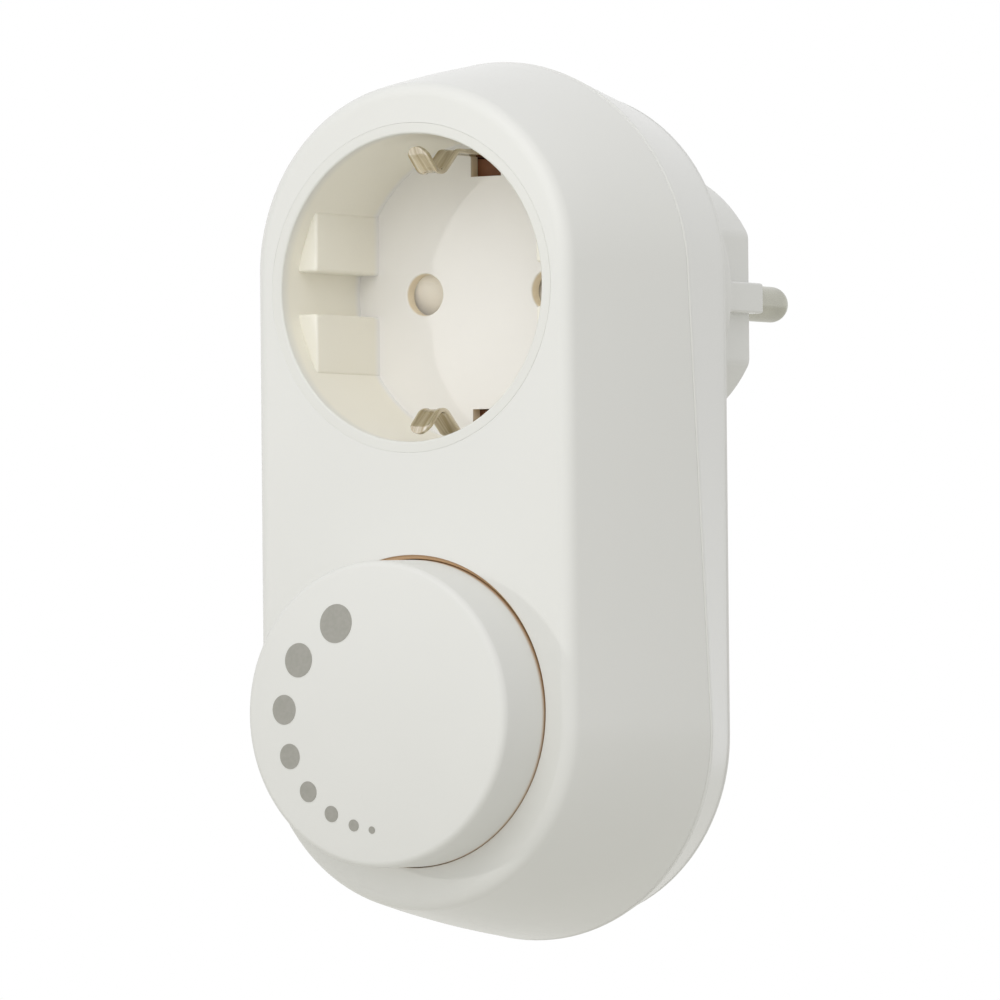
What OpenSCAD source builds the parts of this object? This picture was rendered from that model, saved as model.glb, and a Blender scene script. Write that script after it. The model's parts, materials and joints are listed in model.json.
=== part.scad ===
// Plug-in dimmer: a wall-held adapter with an earthed socket, a rotary dimmer knob and a two-pin plug.
// Local depth runs along +Y from the front face; the finished part is moved so that the origin
// lies between the plug pins, on the face that the plug seats with.

/* [Housing] */
// Width of the flat front face beside the socket's lip
face_rim = 0.92; // [0.6:0.01:4]
// Distance from the socket axis down to the knob axis
axis_spacing = 54; // [50:0.5:62]
// How far the upper end's centre lies above the socket axis
top_offset = 2.5; // [2:0.05:6]
// How far the lower end's centre lies below the knob axis
bottom_offset = 1.4; // [1:0.05:6]
// The same distance on the rear face, which runs down a little further
rear_bottom_offset = 3.2; // [1.5:0.05:5]
// Radius of the rounded front edge
edge_radius = 2; // [1:0.25:2.5]
// How far a flank spreads from the flat face's edge to the parting line
flank_spread = 5.8; // [4.2:0.1:7]
// How far the front cover's flank bulges out between its ends
flank_bulge = 0.2; // [0:0.1:1.2]
// Depth of the parting line beside the socket axis
parting_depth = 22.75; // [22:0.25:28]
// Tilt of the parting plane in degrees, deeper at the knob end
parting_tilt = 3.8; // [0:0.2:4]
// How far the front cover stands proud of the rear cover at the parting line
parting_step = 0.05; // [0:0.05:0.8]
// Depth of the housing from front face to rear face
body_depth = 37.8; // [37:0.2:44]
// How far the rear cover's flank draws in from the parting line to the rear face
rear_draft = 3.1; // [1:0.1:3.2]
// Size of the broken rear edge
rear_edge = 0.6; // [0.3:0.1:1]
// Wall thickness of both covers
wall = 2; // [1.6:0.1:2.4]

/* [Plug] */
// Diameter of the raised collar on the rear face
collar_diameter = 47.2; // [42:0.2:47.4]
// Height of that collar
collar_height = 2.8; // [1:0.2:4]
// Distance from the rear face to the plug's seating face
nose_length = 20.5; // [19:0.1:24]
// Diameter of the plug nose
nose_diameter = 36.2; // [35.4:0.1:38]
// Distance across the plug nose's side flats
flat_spacing = 32; // [30:0.2:34]
// Distance over the guide ridges on those flats
ridge_spacing = 36.2; // [35:0.1:37]
// Width of a guide ridge
ridge_width = 4; // [3:0.1:5]
// Wall thickness of the plug nose
nose_wall = 2.2; // [1.8:0.1:2.6]
// Thickness of the nose's end wall
nose_end = 3; // [2.5:0.1:4]
// Distance between the pin axes, shared with the socket holes
pin_spacing = 19; // [18.8:0.1:19.2]
// Diameter of a plug pin
pin_diameter = 4.8; // [4.7:0.05:4.9]
// Length of a plug pin in front of the seating face
pin_length = 19; // [18.5:0.1:19.5]
// Diameter of the neck that passes through the nose's end wall
pin_neck_diameter = 4.1; // [3.8:0.05:4.3]
// How far that neck stands out of the seating face
pin_neck_reach = 0.3; // [0.2:0.05:0.6]
// Diameter of the flange that holds a pin behind the end wall
pin_flange_diameter = 7.2; // [6.4:0.2:8]
// Diameter of a pin's tail inside the nose
pin_tail_diameter = 3.6; // [3:0.1:4]
// Thickness of the plate that clamps the pins
pin_plate_thickness = 3; // [2:0.25:4]
// Length of a pin's tail past that plate
pin_tail_length = 5; // [3:0.5:6]

/* [Socket] */
// Diameter of the lip round the socket recess
lip_diameter = 41.66; // [41:0.02:42]
// Gap between that lip and the front cover
lip_gap = 0.12; // [0.05:0.01:0.3]
// Diameter of the socket recess
recess_diameter = 39.1; // [38.8:0.05:39.5]
// Depth of the socket recess
recess_depth = 18.4; // [17.5:0.1:19]
// Thickness of the recess floor
floor_thickness = 1.7; // [1.5:0.1:2.2]
// Diameter of a pin hole in the floor
hole_diameter = 5.4; // [5.2:0.05:5.8]
// Broken edge of a pin hole
hole_chamfer = 0.25; // [0.1:0.05:0.4]
// Distance between the faces of the side guide blocks
guide_spacing = 33; // [32:0.2:35]
// Depth at which the guide blocks start
guide_start = 3.7; // [2:0.1:6]
// Height of the channel between two guide blocks
guide_channel = 5.4; // [4.6:0.1:6]
// Height over a pair of guide blocks
guide_height = 21; // [18:0.5:24]
// Width of the floor slots for the earth clips
clip_slot_width = 4.6; // [4:0.1:6]
// Distance from the socket axis to a floor slot's inner edge
clip_slot_start = 15; // [14.5:0.1:16]
// Diameter of the flange behind the front cover
insert_flange_diameter = 43; // [42.4:0.1:43.2]
// Thickness of that flange
insert_flange = 1.8; // [1.2:0.1:2.4]

/* [Earth contacts] */
// Width of the socket's earth clip
clip_width = 3.2; // [2.6:0.1:3.8]
// Thickness of the earth strip metal
strip_thickness = 0.7; // [0.5:0.05:0.9]
// Distance from the socket axis to the tip of a clip's bend
clip_apex = 14.5; // [14:0.1:15.5]
// Distance from the socket axis to the clip's outer runs
clip_outer = 17.8; // [17:0.1:18.2]
// Width of the plug's earth strip
plug_strip_width = 5; // [4:0.2:6]

/* [Shutter] */
// Thickness of the child-safety shutter
shutter_thickness = 1.8; // [1.4:0.1:2.2]
// Running gap in front of and behind the shutter
shutter_gap = 0.3; // [0.2:0.05:0.5]
// Length of the shutter over both arms
shutter_span = 26.4; // [25:0.2:28]
// Width of a shutter arm
shutter_width = 6.4; // [6:0.1:7]
// Diameter of the pivot that the shutter turns on
pivot_diameter = 4; // [3.4:0.1:5]
// Radial running clearance of the pivot
pivot_clearance = 0.06; // [0.02:0.01:0.1]
// Coil diameter of the shutter spring, outside
spring_diameter = 2; // [1.6:0.1:2.2]
// Wire diameter of the shutter spring
spring_wire = 0.3; // [0.2:0.05:0.4]
// Number of turns of the shutter spring
spring_turns = 7; // [4:1:10]
// Distance from the socket axis to the spring's axis
spring_offset = 11.5; // [11:0.1:12.5]

/* [Knob] */
// Diameter of the knob
knob_diameter = 38.9; // [36:0.1:40]
// Radial gap between the knob and its well
knob_gap = 0.55; // [0.3:0.05:0.7]
// Height of the knob's face at its edge in front of the front cover
knob_rise = 9.1; // [6:0.1:12]
// Radius of the knob's front edge
knob_edge = 1; // [0.3:0.1:1.5]
// Radius of the dome of the knob's face
knob_dome = 105; // [70:1:400]
// Wall thickness of the knob
knob_wall = 2; // [1.6:0.1:3]
// Depth of the well that the knob sits in
well_depth = 4; // [3:0.25:6]
// Diameter of the knob's hub
hub_diameter = 11; // [9.5:0.5:14]
// Diameter of the control shaft
shaft_diameter = 6; // [5:0.25:6.5]
// Depth of the flat on the control shaft
shaft_flat = 1.5; // [1:0.1:2]
// Fit clearance between shaft and hub
hub_clearance = 0.03; // [0.01:0.01:0.1]
// Number of level dots on the knob's face
dot_count = 8; // [5:1:9]
// Radius of the smallest dot
dot_smallest = 0.46; // [0.4:0.02:0.8]
// Growth of the radius from one dot to the next
dot_growth = 0.285; // [0.2:0.005:0.32]
// Radius of the circle that the dots tend to as they shrink
dot_circle = 15; // [13:0.1:16.5]
// Position of the smallest dot in degrees, anticlockwise from the right
dot_first_angle = 269.4; // [240:0.2:290]
// Angle between the two smallest dots
dot_first_step = 10.9; // [9:0.1:14]
// Growth of that angle from one dot to the next
dot_step_growth = 3.76; // [2:0.02:3.8]
// Thickness of the printed dots
dot_film = 0.06; // [0.04:0.01:0.1]

/* [Control] */
// Diameter of the control's housing
control_diameter = 17; // [15:0.5:19]
// Diameter of the control's bush
bush_diameter = 7.6; // [7:0.1:9]
// Wall thickness of the control's housing
control_wall = 1.1; // [0.8:0.1:1.4]
// Thickness of the control's base with its resistive track
control_base = 2; // [1.5:0.1:2.5]
// Free turn of the control in degrees
control_travel = 300; // [240:5:310]
// Width of the control's stop block in degrees
stop_width = 40; // [30:1:60]
// Thickness of the turning wiper disc
wiper_thickness = 2.4; // [1.6:0.1:3]

/* [Electronics] */
// Width of the circuit board
board_width = 40; // [36:0.5:42]
// Distance from the end screws' bosses up to the board's lower edge
board_end_gap = 0.93; // [0.6:0.01:2]
// Thickness of the circuit board
board_thickness = 1.6; // [1.2:0.1:2]
// Distance from the circuit board's front face to the housing's rear face
board_room = 19.8; // [19:0.1:20.6]
// Distance from the waist screws' bosses down to the board's upper edge
board_gap = 1.6; // [1:0.1:2.2]
// Length of the fuse
fuse_length = 20; // [18:0.5:22]
// Diameter of the fuse
fuse_diameter = 5; // [4.5:0.1:5.5]
// Width of the film capacitor
film_width = 13; // [10:0.5:13]
// Thickness of the film capacitor
film_thickness = 6; // [4:0.5:6.5]
// Height of the film capacitor off the board
film_height = 11; // [8:0.5:13]
// Diameter of the electrolytic capacitor
can_diameter = 8; // [6:0.5:9]
// Length of the electrolytic capacitor
can_length = 12; // [9:0.5:14]
// Diameter of the interference choke
choke_diameter = 10; // [8:0.5:11]
// Height of the interference choke
choke_height = 10; // [8:0.5:14]
// Gap between the heat sink plate and the board screws' heads
sink_gap = 0.4; // [0.2:0.1:1.5]
// Height of the heat sink plate off the board
sink_height = 14; // [13.5:0.5:15]
// Thickness of the heat sink plate
sink_thickness = 1; // [0.6:0.1:1.5]
// Diameter of an insulated wire
wire_diameter = 2.2; // [1.6:0.1:2.4]

/* [Fasteners] */
// Diameter of a cover screw
screw_diameter = 2.9; // [2.5:0.1:3.2]
// Diameter of a cover screw's head
screw_head_diameter = 5.6; // [5:0.1:5.8]
// Height of a cover screw's head
screw_head_height = 2; // [1.5:0.1:2.5]
// Depth of the counterbore over a cover screw's head
screw_sink = 2; // [1:0.25:3]
// Diameter of a small screw
small_screw_diameter = 2.2; // [1.8:0.1:2.5]
// Diameter of a small screw's head
small_head_diameter = 4.2; // [3.8:0.1:4.6]
// Height of a small screw's head
small_head_height = 1.4; // [1:0.1:1.8]
// Clearance of a screw in its hole, on the radius
screw_clearance = 0.05; // [0.03:0.01:0.15]

/* [Hidden] */
$fn = 64;

// Places shared by several pieces
plug_depth = body_depth + nose_length;
rear_inside = body_depth - wall;
board_depth = body_depth - board_room;
knob_z = -axis_spacing;
bottom_arc_z = knob_z - bottom_offset;
rear_arc_z = knob_z - rear_bottom_offset;
lip_radius = lip_diameter / 2;
face_half = lip_radius + face_rim;
parting_half = face_half + flank_spread;
rear_half = parting_half - rear_draft;
flank_growth = flank_spread - edge_radius + 4 * flank_bulge;
flank_lean = atan(flank_growth / (parting_depth - edge_radius));
flank_start = face_half + edge_radius * cos(flank_lean);
flank_start_depth = edge_radius * (1 - sin(flank_lean));
edge_steps = 6;
flank_steps = 6;
far = 200;
sliver = 0.02;
overlap = 0.5;

// Half-width of the front cover's flank at a depth
function flank_half(depth) = let (u = (depth - flank_start_depth) / (parting_depth - flank_start_depth))
    flank_start + (parting_half - flank_start) * u + 4 * flank_bulge * u * (1 - u);

// Points of the flank from its start down to a depth, drawn in by an inset
function flank(inset, from, to) = [for (i = [0:flank_steps])
    let (depth = from + (to - from) * i / flank_steps) [flank_half(depth) - inset, depth]];

// Depth of the parting plane at a height
function parting_at(z) = parting_depth - z * tan(parting_tilt);

// How far back the flank's form is drawn before the parting plane cuts it
flank_run = parting_at(bottom_arc_z - parting_half) + 1;

// Points of an arc about a centre, from one angle to another
function arc(centre, radius, from, to, steps) = [for (i = [0:steps])
    let (angle = from + (to - from) * i / steps) centre + radius * [cos(angle), sin(angle)]];

// Plug nose
nose_radius = nose_diameter / 2;
nose_bore = nose_radius - nose_wall;
nose_inner_half = flat_spacing / 2 - nose_wall;
pin_radius = pin_diameter / 2;
pin_hole_clearance = 0.05;
pin_flange = 2.5;
pin_flange_front = plug_depth - nose_end - pin_flange;
pin_plate_front = pin_flange_front - pin_plate_thickness;
pin_plate_clearance = 0.3;
pin_plate_half_height = 13;
pin_tail_end = pin_plate_front - pin_tail_length;

// Socket insert and what stacks behind its floor
insert_x = pin_spacing / 2;
hole_radius = hole_diameter / 2;
lip_break = 0.25;
ramp_share = 0.55;
shutter_hub_radius = shutter_width / 2 + 1.28;
spring_seat = 13.6;
spring_seat_wall = 1.6;
spring_seat_gap = 0.1;
spring_end_gap = 0.05;
recess_radius = recess_diameter / 2;
floor_back = recess_depth + floor_thickness;
shutter_front = floor_back + shutter_gap;
carrier_front = shutter_front + shutter_thickness + shutter_gap + spring_seat_gap;
carrier_thickness = 2;
carrier_back = carrier_front + carrier_thickness;
carrier_clearance = 0.3;
carrier_radius = recess_radius - carrier_clearance;
carrier_post_radius = 1.9;
carrier_post_at = [11.2, 11.2];
carrier_screw_reach = 0.4;

// Contacts behind the holes
contact_metal = 0.6;
contact_grip = 0.05;
contact_half = pin_diameter / 2 + contact_grip;
contact_base_z = -3.5;
contact_rim_z = 3;
contact_seat_gap = 0.4;
contact_short = 1.2;
contact_front = carrier_back + contact_seat_gap;
contact_back = recess_depth + pin_length - contact_short;
pocket_wall = 1.2;
pocket_gap = 0.25;
pocket_clearance = 0.8;
pocket_half = contact_half + contact_metal + pocket_gap;
pocket_back = min(contact_back - contact_short, rear_inside - pocket_clearance);
tab_half = 1.5;
tab_drop = 5;
tab_foot = contact_base_z - tab_drop;
tab_middle = contact_back - contact_metal / 2;

// Earth strips, from front to back: clip bar on the carrier, then plug strip bar
clip_bar_depth = carrier_back + strip_thickness / 2;
plug_bar_depth = clip_bar_depth + strip_thickness;
clip_tip = [1.2, clip_outer];
clip_bend = [5.2, clip_apex];
clip_foot = [10.3, clip_outer];
plug_strip_inner = nose_bore - 0.8;
plug_strip_outer = nose_radius - 0.5;
plug_window_start = 6;
plug_window_end = 1.4;
plug_window_clearance = 0.3;
rivet_radius = 0.9;
rivet_head_radius = 1.7;
rivet_head = 0.5;

// Cover screws: two at the waist, two at the knob end
screw_inset = 2.6;
end_screw_angle = 34;
waist_screw = [face_half - screw_inset, knob_z / 2];
end_screw = [0, bottom_arc_z] + (face_half - screw_inset) * [sin(end_screw_angle), -cos(end_screw_angle)];
cover_screw_places = [for (p = [waist_screw, end_screw], side = [-1, 1]) [side * p[0], p[1]]];
boss_radius = 3.2;
boss_solid = 10;
post_radius = 4.2;
screw_head_front = body_depth - screw_sink - screw_head_height;
screw_length = 15;
cross_length = 1.3;
cross_width = 0.3;
screw_pass_clearance = 0.2;

// Supports on the rear wall that hold the socket insert forward
support_radius = 1.6;
support_places = [[-1, 0], [1, 0], [0, 1], [0, -1]];
insert_back = carrier_back;
support_at = (recess_radius + lip_radius) / 2;

// Knob, shaft and control
knob_radius = knob_diameter / 2;
dome_reach = knob_radius - knob_edge;
dome_steps = 12;
well_radius = knob_radius + knob_gap;
well_wall = 1.4;
well_floor = 2;
well_clearance = 0.6;
knob_foot = well_depth - well_clearance;
hub_top = 1.8;
hub_gap = 0.4;
bush_front = well_depth - 2;
bush_clearance = 0.3;
shaft_radius = shaft_diameter / 2;
shaft_end_gap = 0.1;
shaft_end = -knob_rise + knob_wall + hub_top;
control_front = well_depth + well_floor + 1;
control_back = board_depth - control_base;
shaft_running = 0.06;
cavity_radius = control_diameter / 2 - control_wall;
cavity_front = control_front + 2;
wiper_front = cavity_front + 0.4;
wiper_radius = cavity_radius - 1.4;
wiper_gap = 0.35;
stop_gap = 0.5;
lug_width = 360 - control_travel - stop_width - 2 * stop_gap;
stop_angle = -90;
lug_angle = stop_angle - stop_width / 2 - stop_gap - lug_width / 2;

// Circuit board and what stands on its rear face
board_back = board_depth + board_thickness;
board_top = waist_screw[1] - boss_radius - board_gap;
board_bottom = end_screw[1] + boss_radius + board_end_gap;
board_height = board_top - board_bottom;
board_post_radius = 2.6;
board_screw_inset = 4;
board_screw_drop = 10;
board_screw_x = board_width / 2 - board_screw_inset;
board_screw_rows = [board_top - board_screw_drop, board_bottom + board_screw_inset];
board_screw_places = [for (side = [-1, 1], z = board_screw_rows) [side * board_screw_x, z]];
board_screw_length = 9;
small_radius = small_screw_diameter / 2;
fuse_drop = 9.3;
fuse_z = board_top - fuse_drop;
fuse_gap = 1.5;
fuse_lift = fuse_diameter / 2 + fuse_gap;
fuse_clip_length = 5;
fuse_clip_wall = 0.6;
fuse_clip_grip = 0.05;
film_left = 18;
film_share = 20.3 / 36;
film_at = [-film_left, board_top - film_share * board_height];
can_left = 12.5;
can_rise = 6;
can_at = [-can_left, board_screw_rows[1] + can_rise];
choke_inset = 15.5;
choke_drop = 26.5;
choke_at = [board_screw_x - choke_inset, board_top - choke_drop];
choke_flange = 1.5;
choke_core_radius = 2.5;
choke_wind_clearance = 0.05;
choke_wind_inset = 0.5;
sink_inset = 2.5;
sink_x = board_width / 2 - sink_inset;
sink_clear = small_head_diameter / 2 + sink_gap;
sink_z = board_screw_rows[1] + sink_clear;
sink_length = board_screw_rows[0] - sink_clear - sink_z;
transistor_thickness = 4.5;
transistor_width = 10;
transistor_height = 9;
transistor_lift = 4;
transistor_back = board_back + transistor_lift + transistor_height;
sink_screw_inset = 2;
sink_screw = [transistor_back - sink_screw_inset, sink_z + sink_length / 2];
leg_half = 0.4;
leg_pitch = 2.54;
chip_length = 5;
chip_width = 4;
chip_height = 1.6;
chip_right = 3;
chip_drop = 16.5;
chip_at = [chip_right, board_top - chip_drop];
resistor_radius = 1.2;
resistor_length = 6;
resistor_inset = 9;
resistor_right = board_screw_x - resistor_inset;
resistor_spacing = 2.7;
resistor_rise = 4.5;
resistor_count = 3;
resistor_z = board_bottom + resistor_rise;
pad_drop = 3.2;
pad_z = board_top - pad_drop;
line_pad_x = 8;
load_pad_x = 12;

// Wire routes as [x, depth, z]
line_route = [
    [insert_x, pin_tail_end, 0], [insert_x, pin_tail_end - 1.5, 0], [8.4, pin_tail_end - 3.4, -4.5],
    [5.6, rear_inside + 2.7, -10], [5.2, rear_inside - 0.8, -13.5], [5.5, rear_inside - 4.8, -18],
    [7, rear_inside - 8.3, -24], [line_pad_x, board_back + 5.4, pad_z + 5],
    [line_pad_x, board_back + 2.9, pad_z], [line_pad_x, board_back, pad_z]
];
neutral_route = [
    [-insert_x, pin_tail_end, 0], [-insert_x, pin_tail_end - 1.5, 0],
    [-insert_x, (pin_tail_end + contact_back) / 2, -4.6],
    [-insert_x, contact_back + 1.6, tab_foot + 1.3], [-insert_x, contact_back, tab_foot + 1.3]
];
load_route = [
    [insert_x, tab_middle, tab_foot], [insert_x, tab_middle, tab_foot - 1.2], [10, rear_inside - 1.8, -12.8],
    [11, rear_inside - 4.8, -18], [load_pad_x, rear_inside - 8.3, -25],
    [load_pad_x, board_back + 4.9, pad_z + 4], [load_pad_x, board_back + 2.4, pad_z],
    [load_pad_x, board_back, pad_z]
];
tap_route = [for (p = load_route) [-p[0], p[1], p[2]]];

// Moves a piece from depth coordinates to the part's own frame
module placed() translate([0, -plug_depth, 0]) children();

// Puts a shape drawn in its own XY plane upright at a depth, so that its Z runs along the depth
module facing_back(depth) translate([0, depth, 0]) rotate([-90, 0, 0]) mirror([0, 1, 0]) children();

// A round bar along the depth at a place [x, z]
module bar(place, radius, from, to) {
    facing_back(from) translate([place[0], place[1], 0]) cylinder(r = radius, h = to - from);
}

// A block given by its low and high corner
module block(low, high) translate(low) cube(high - low);

// A long solid with round ends whose half-width follows a profile of [half-width, depth]
module long_round(profile, low = bottom_arc_z) {
    count = len(profile);
    mirrored = [for (i = [count - 1:-1:0]) if (profile[i][0] > 0) [-profile[i][0], profile[i][1]]];
    translate([0, 0, low]) linear_extrude(height = top_offset - low) polygon(concat(profile, mirrored));
    translate([0, 0, low]) rotate([-90, 0, 0]) rotate_extrude(angle = 180) polygon(profile);
    translate([0, 0, top_offset]) rotate([-90, 0, 0]) rotate([0, 0, 180])
        rotate_extrude(angle = 180) polygon(profile);
}

// Everything in front of the parting plane, or behind it
module before_parting() {
    translate([0, parting_depth, 0]) rotate([parting_tilt, 0, 0]) block([-far, -far, -far], [far, 0, far]);
}
module behind_parting() {
    translate([0, parting_depth, 0]) rotate([parting_tilt, 0, 0]) block([-far, 0, -far], [far, far, far]);
}

// The front cover's outer form, drawn in by an inset and run on past the parting plane
module flank_form(inset) {
    corner = arc([face_half - inset, edge_radius], edge_radius, -90, -flank_lean, edge_steps);
    side = flank(inset, flank_start_depth, flank_run);
    long_round(concat([[0, 0]], corner, [for (i = [1:flank_steps]) side[i]], [[0, flank_run]]));
}

module front_cover() color("ivory") placed() difference() {
    intersection() {
        union() {
            difference() {
                flank_form(0);
                long_round(concat([[0, wall]], flank(wall, wall, flank_run + 1), [[0, flank_run + 1]]));
            }
            bar([0, knob_z], well_radius + well_wall, wall / 2, well_depth + well_floor);
            for (at = cover_screw_places) bar(at, boss_radius, wall / 2, body_depth);
            for (at = board_screw_places) bar(at, board_post_radius, well_depth + wall / 2, board_depth);
        }
        before_parting();
    }
    bar([0, 0], lip_radius + lip_gap, -1, wall + 1);
    bar([0, knob_z], well_radius, -1, well_depth);
    bar([0, knob_z], bush_diameter / 2 + bush_clearance, 0, well_depth + well_floor + 1);
    for (at = cover_screw_places) bar(at, screw_diameter / 2 + screw_clearance, boss_solid, body_depth);
    for (at = board_screw_places)
        bar(at, small_radius + screw_clearance, board_depth - board_screw_length, board_depth + 1);
}

// The rear cover's outer form, drawn in by an inset: it runs from the parting line, or a lead ahead of it,
// to the rear face
module rear_form(inset, back, lead = 0) {
    half = rear_half - inset;
    hull($fn = 48) {
        intersection() {
            flank_form(parting_step + inset);
            translate([0, -lead, 0]) behind_parting();
            translate([0, sliver - lead, 0]) before_parting();
        }
        for (step = [[half, back - rear_edge], [half - rear_edge, back]])
            long_round([[0, step[1] - sliver], [step[0], step[1] - sliver], step, [0, step[1]]], rear_arc_z);
    }
}

module nose_outline(radius, flat_half) intersection() {
    circle(r = radius);
    square([2 * flat_half, 4 * radius], center = true);
}

module rear_cover() color("ivory") placed() difference() {
    union() {
        difference() {
            rear_form(0, body_depth);
            rear_form(wall, body_depth - wall, 1);
        }
        bar([0, 0], collar_diameter / 2, body_depth - wall, body_depth + collar_height);
        facing_back(body_depth) linear_extrude(height = nose_length) {
            nose_outline(nose_radius, flat_spacing / 2);
            square([ridge_spacing, ridge_width], center = true);
        }
        intersection() {
            for (at = cover_screw_places) bar(at, post_radius, wall, body_depth - wall / 2);
            rear_form(wall / 2, body_depth - wall / 2);
        }
        for (p = support_places) bar(p * support_at, support_radius, insert_back, body_depth - wall / 2);
    }
    facing_back(body_depth - wall - 1) linear_extrude(height = nose_length + wall + 1 - nose_end)
        nose_outline(nose_bore, nose_inner_half);
    for (side = [-1, 1]) {
        bar([side * insert_x, 0], pin_radius + pin_hole_clearance, body_depth, plug_depth + 1);
        window_low = side > 0 ? nose_bore - 2 : -nose_radius - 1;
        window_half = plug_strip_width / 2 + plug_window_clearance;
        block([-window_half, body_depth + plug_window_start, window_low],
              [window_half, plug_depth - plug_window_end, window_low + nose_wall + 3]);
    }
    for (at = cover_screw_places) {
        bar(at, screw_diameter / 2 + screw_pass_clearance, wall, body_depth + 1);
        bar(at, screw_head_diameter / 2 + screw_pass_clearance, screw_head_front, body_depth + 1);
    }
}

// A pan-head screw whose head starts at a depth and whose shank points to the front
module screw(place, radius, head_radius, head_height, length, head_front) difference() {
    union() {
        bar(place, radius, head_front - length, head_front);
        bar(place, head_radius, head_front, head_front + head_height);
    }
    for (turn = [0, 90])
        translate([place[0], head_front + head_height, place[1]]) rotate([0, turn, 0])
            cube([cross_length * head_radius, head_height, cross_width * head_radius], center = true);
}

module cover_screws() color("silver") placed() for (at = cover_screw_places)
    screw(at, screw_diameter / 2, screw_head_diameter / 2, screw_head_height, screw_length, screw_head_front);

module socket_insert() color("ivory") placed() difference() {
    union() {
        facing_back(0) rotate_extrude() polygon([
            [recess_radius, lip_break], [recess_radius + lip_break, 0], [lip_radius, 0], [lip_radius, wall],
            [insert_flange_diameter / 2, wall], [insert_flange_diameter / 2, wall + insert_flange],
            [lip_radius, wall + insert_flange], [lip_radius, insert_back], [recess_radius, insert_back],
            [recess_radius, floor_back], [0, floor_back], [0, recess_depth], [recess_radius, recess_depth]
        ]);
        intersection() {
            for (side = [-1, 1], row = [-1, 1]) {
                x = side > 0 ? guide_spacing / 2 : -lip_radius;
                z = row > 0 ? guide_channel / 2 : -guide_height / 2;
                depth = recess_depth - guide_start + overlap;
                translate([x, guide_start, z])
                    cube([lip_radius - guide_spacing / 2, depth, (guide_height - guide_channel) / 2]);
            }
            bar([0, 0], (recess_radius + lip_radius) / 2, 0, floor_back);
        }
        bar([0, 0], pivot_diameter / 2, recess_depth + overlap, carrier_front);
        for (side = [-1, 1])
            bar(side * carrier_post_at, carrier_post_radius, recess_depth + overlap, carrier_front);
        block([spring_offset - spring_diameter, recess_depth + overlap, -spring_seat - spring_seat_wall],
              [spring_offset + spring_diameter, carrier_front - spring_seat_gap, -spring_seat]);
    }
    for (side = [-1, 1]) {
        bar([side * insert_x, 0], hole_radius, recess_depth - 1, floor_back + 1);
        facing_back(recess_depth - sliver) translate([side * insert_x, 0])
            cylinder(r1 = hole_radius + hole_chamfer + sliver, r2 = hole_radius, h = hole_chamfer + 2 * sliver);
        bar(side * carrier_post_at, small_radius + screw_clearance, recess_depth + 1, carrier_front + 1);
        slot_low = side > 0 ? clip_slot_start : -recess_radius;
        block([-clip_slot_width / 2, recess_depth - 1, slot_low],
              [clip_slot_width / 2, floor_back + 1, slot_low + recess_radius - clip_slot_start]);
    }
}

// One arm of the shutter, with the ramp that a plug pin pushes on
module shutter_arm() {
    half = shutter_width / 2;
    back = shutter_front + shutter_thickness;
    ramp_edge = -half / 2;
    ramp_drop = shutter_thickness * ramp_share;
    rotate([90, 0, 90]) linear_extrude(height = shutter_span / 2) polygon([
        [back, -half], [back, half], [shutter_front + ramp_drop, half],
        [shutter_front, ramp_edge], [shutter_front, -half]
    ]);
}

module shutter() color("white") placed() difference() {
    union() {
        bar([0, 0], shutter_hub_radius, shutter_front, shutter_front + shutter_thickness);
        shutter_arm();
        rotate([0, 180, 0]) shutter_arm();
    }
    bar([0, 0], pivot_diameter / 2 + pivot_clearance, 0, body_depth);
}

// A tube swept along points, as one solid with flat ends
module swept_tube(points, radius, sides) {
    last = len(points) - 1;
    function along(i) = let (v = points[min(i + 1, last)] - points[max(i - 1, 0)]) v / norm(v);
    function across(t) = let (v = cross(t, abs(t[0]) > 0.9 ? [0, 0, 1] : [1, 0, 0])) v / norm(v);
    rings = [for (i = [0:last]) let (t = along(i), u = across(t), w = cross(t, u))
        for (k = [0:sides - 1]) points[i] + radius * (cos(360 * k / sides) * u + sin(360 * k / sides) * w)];
    walls = [for (i = [0:last - 1], k = [0:sides - 1], half = [0, 1])
        let (a = i * sides + k, b = i * sides + (k + 1) % sides)
        half == 0 ? [a, a + sides, b] : [b, a + sides, b + sides]];
    caps = [[for (k = [0:sides - 1]) k], [for (k = [sides - 1:-1:0]) last * sides + k]];
    polyhedron(rings, concat(walls, caps));
}

module shutter_spring() color("gainsboro") placed() {
    steps = spring_turns * 10;
    coil = (spring_diameter - spring_wire) / 2;
    low = -spring_seat + spring_wire / 2 + spring_end_gap;
    high = -shutter_width / 2 - spring_wire / 2 - spring_end_gap;
    middle = (floor_back + carrier_front) / 2;
    swept_tube([for (i = [0:steps]) [
        spring_offset + coil * cos(36 * i), middle + coil * sin(36 * i), low + (high - low) * i / steps
    ]], spring_wire / 2, 6);
}

module contact_carrier() color("saddlebrown") placed() difference() {
    pocket_rim = pocket_gap + pocket_wall;
    union() {
        bar([0, 0], carrier_radius, carrier_front, carrier_back);
        for (side = [-1, 1]) translate([side * insert_x, 0, 0])
            block([-pocket_half - pocket_wall, carrier_back - overlap, contact_base_z - pocket_rim],
                  [pocket_half + pocket_wall, pocket_back, contact_rim_z + pocket_rim]);
    }
    for (side = [-1, 1]) {
        translate([side * insert_x, 0, 0])
            block([-pocket_half, carrier_back + 0.1, contact_base_z - pocket_gap],
                  [pocket_half, body_depth, contact_rim_z + pocket_gap]);
        bar([side * insert_x, 0], hole_radius + carrier_clearance, carrier_front - 1, carrier_back + 1);
        bar(side * carrier_post_at, small_radius + screw_clearance, carrier_front - 1, carrier_back + 1);
        slot_low = side > 0 ? clip_slot_start : -recess_radius;
        block([-clip_slot_width / 2, carrier_front - 1, slot_low],
              [clip_slot_width / 2, carrier_back + 1, slot_low + recess_radius - clip_slot_start]);
    }
}

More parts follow.
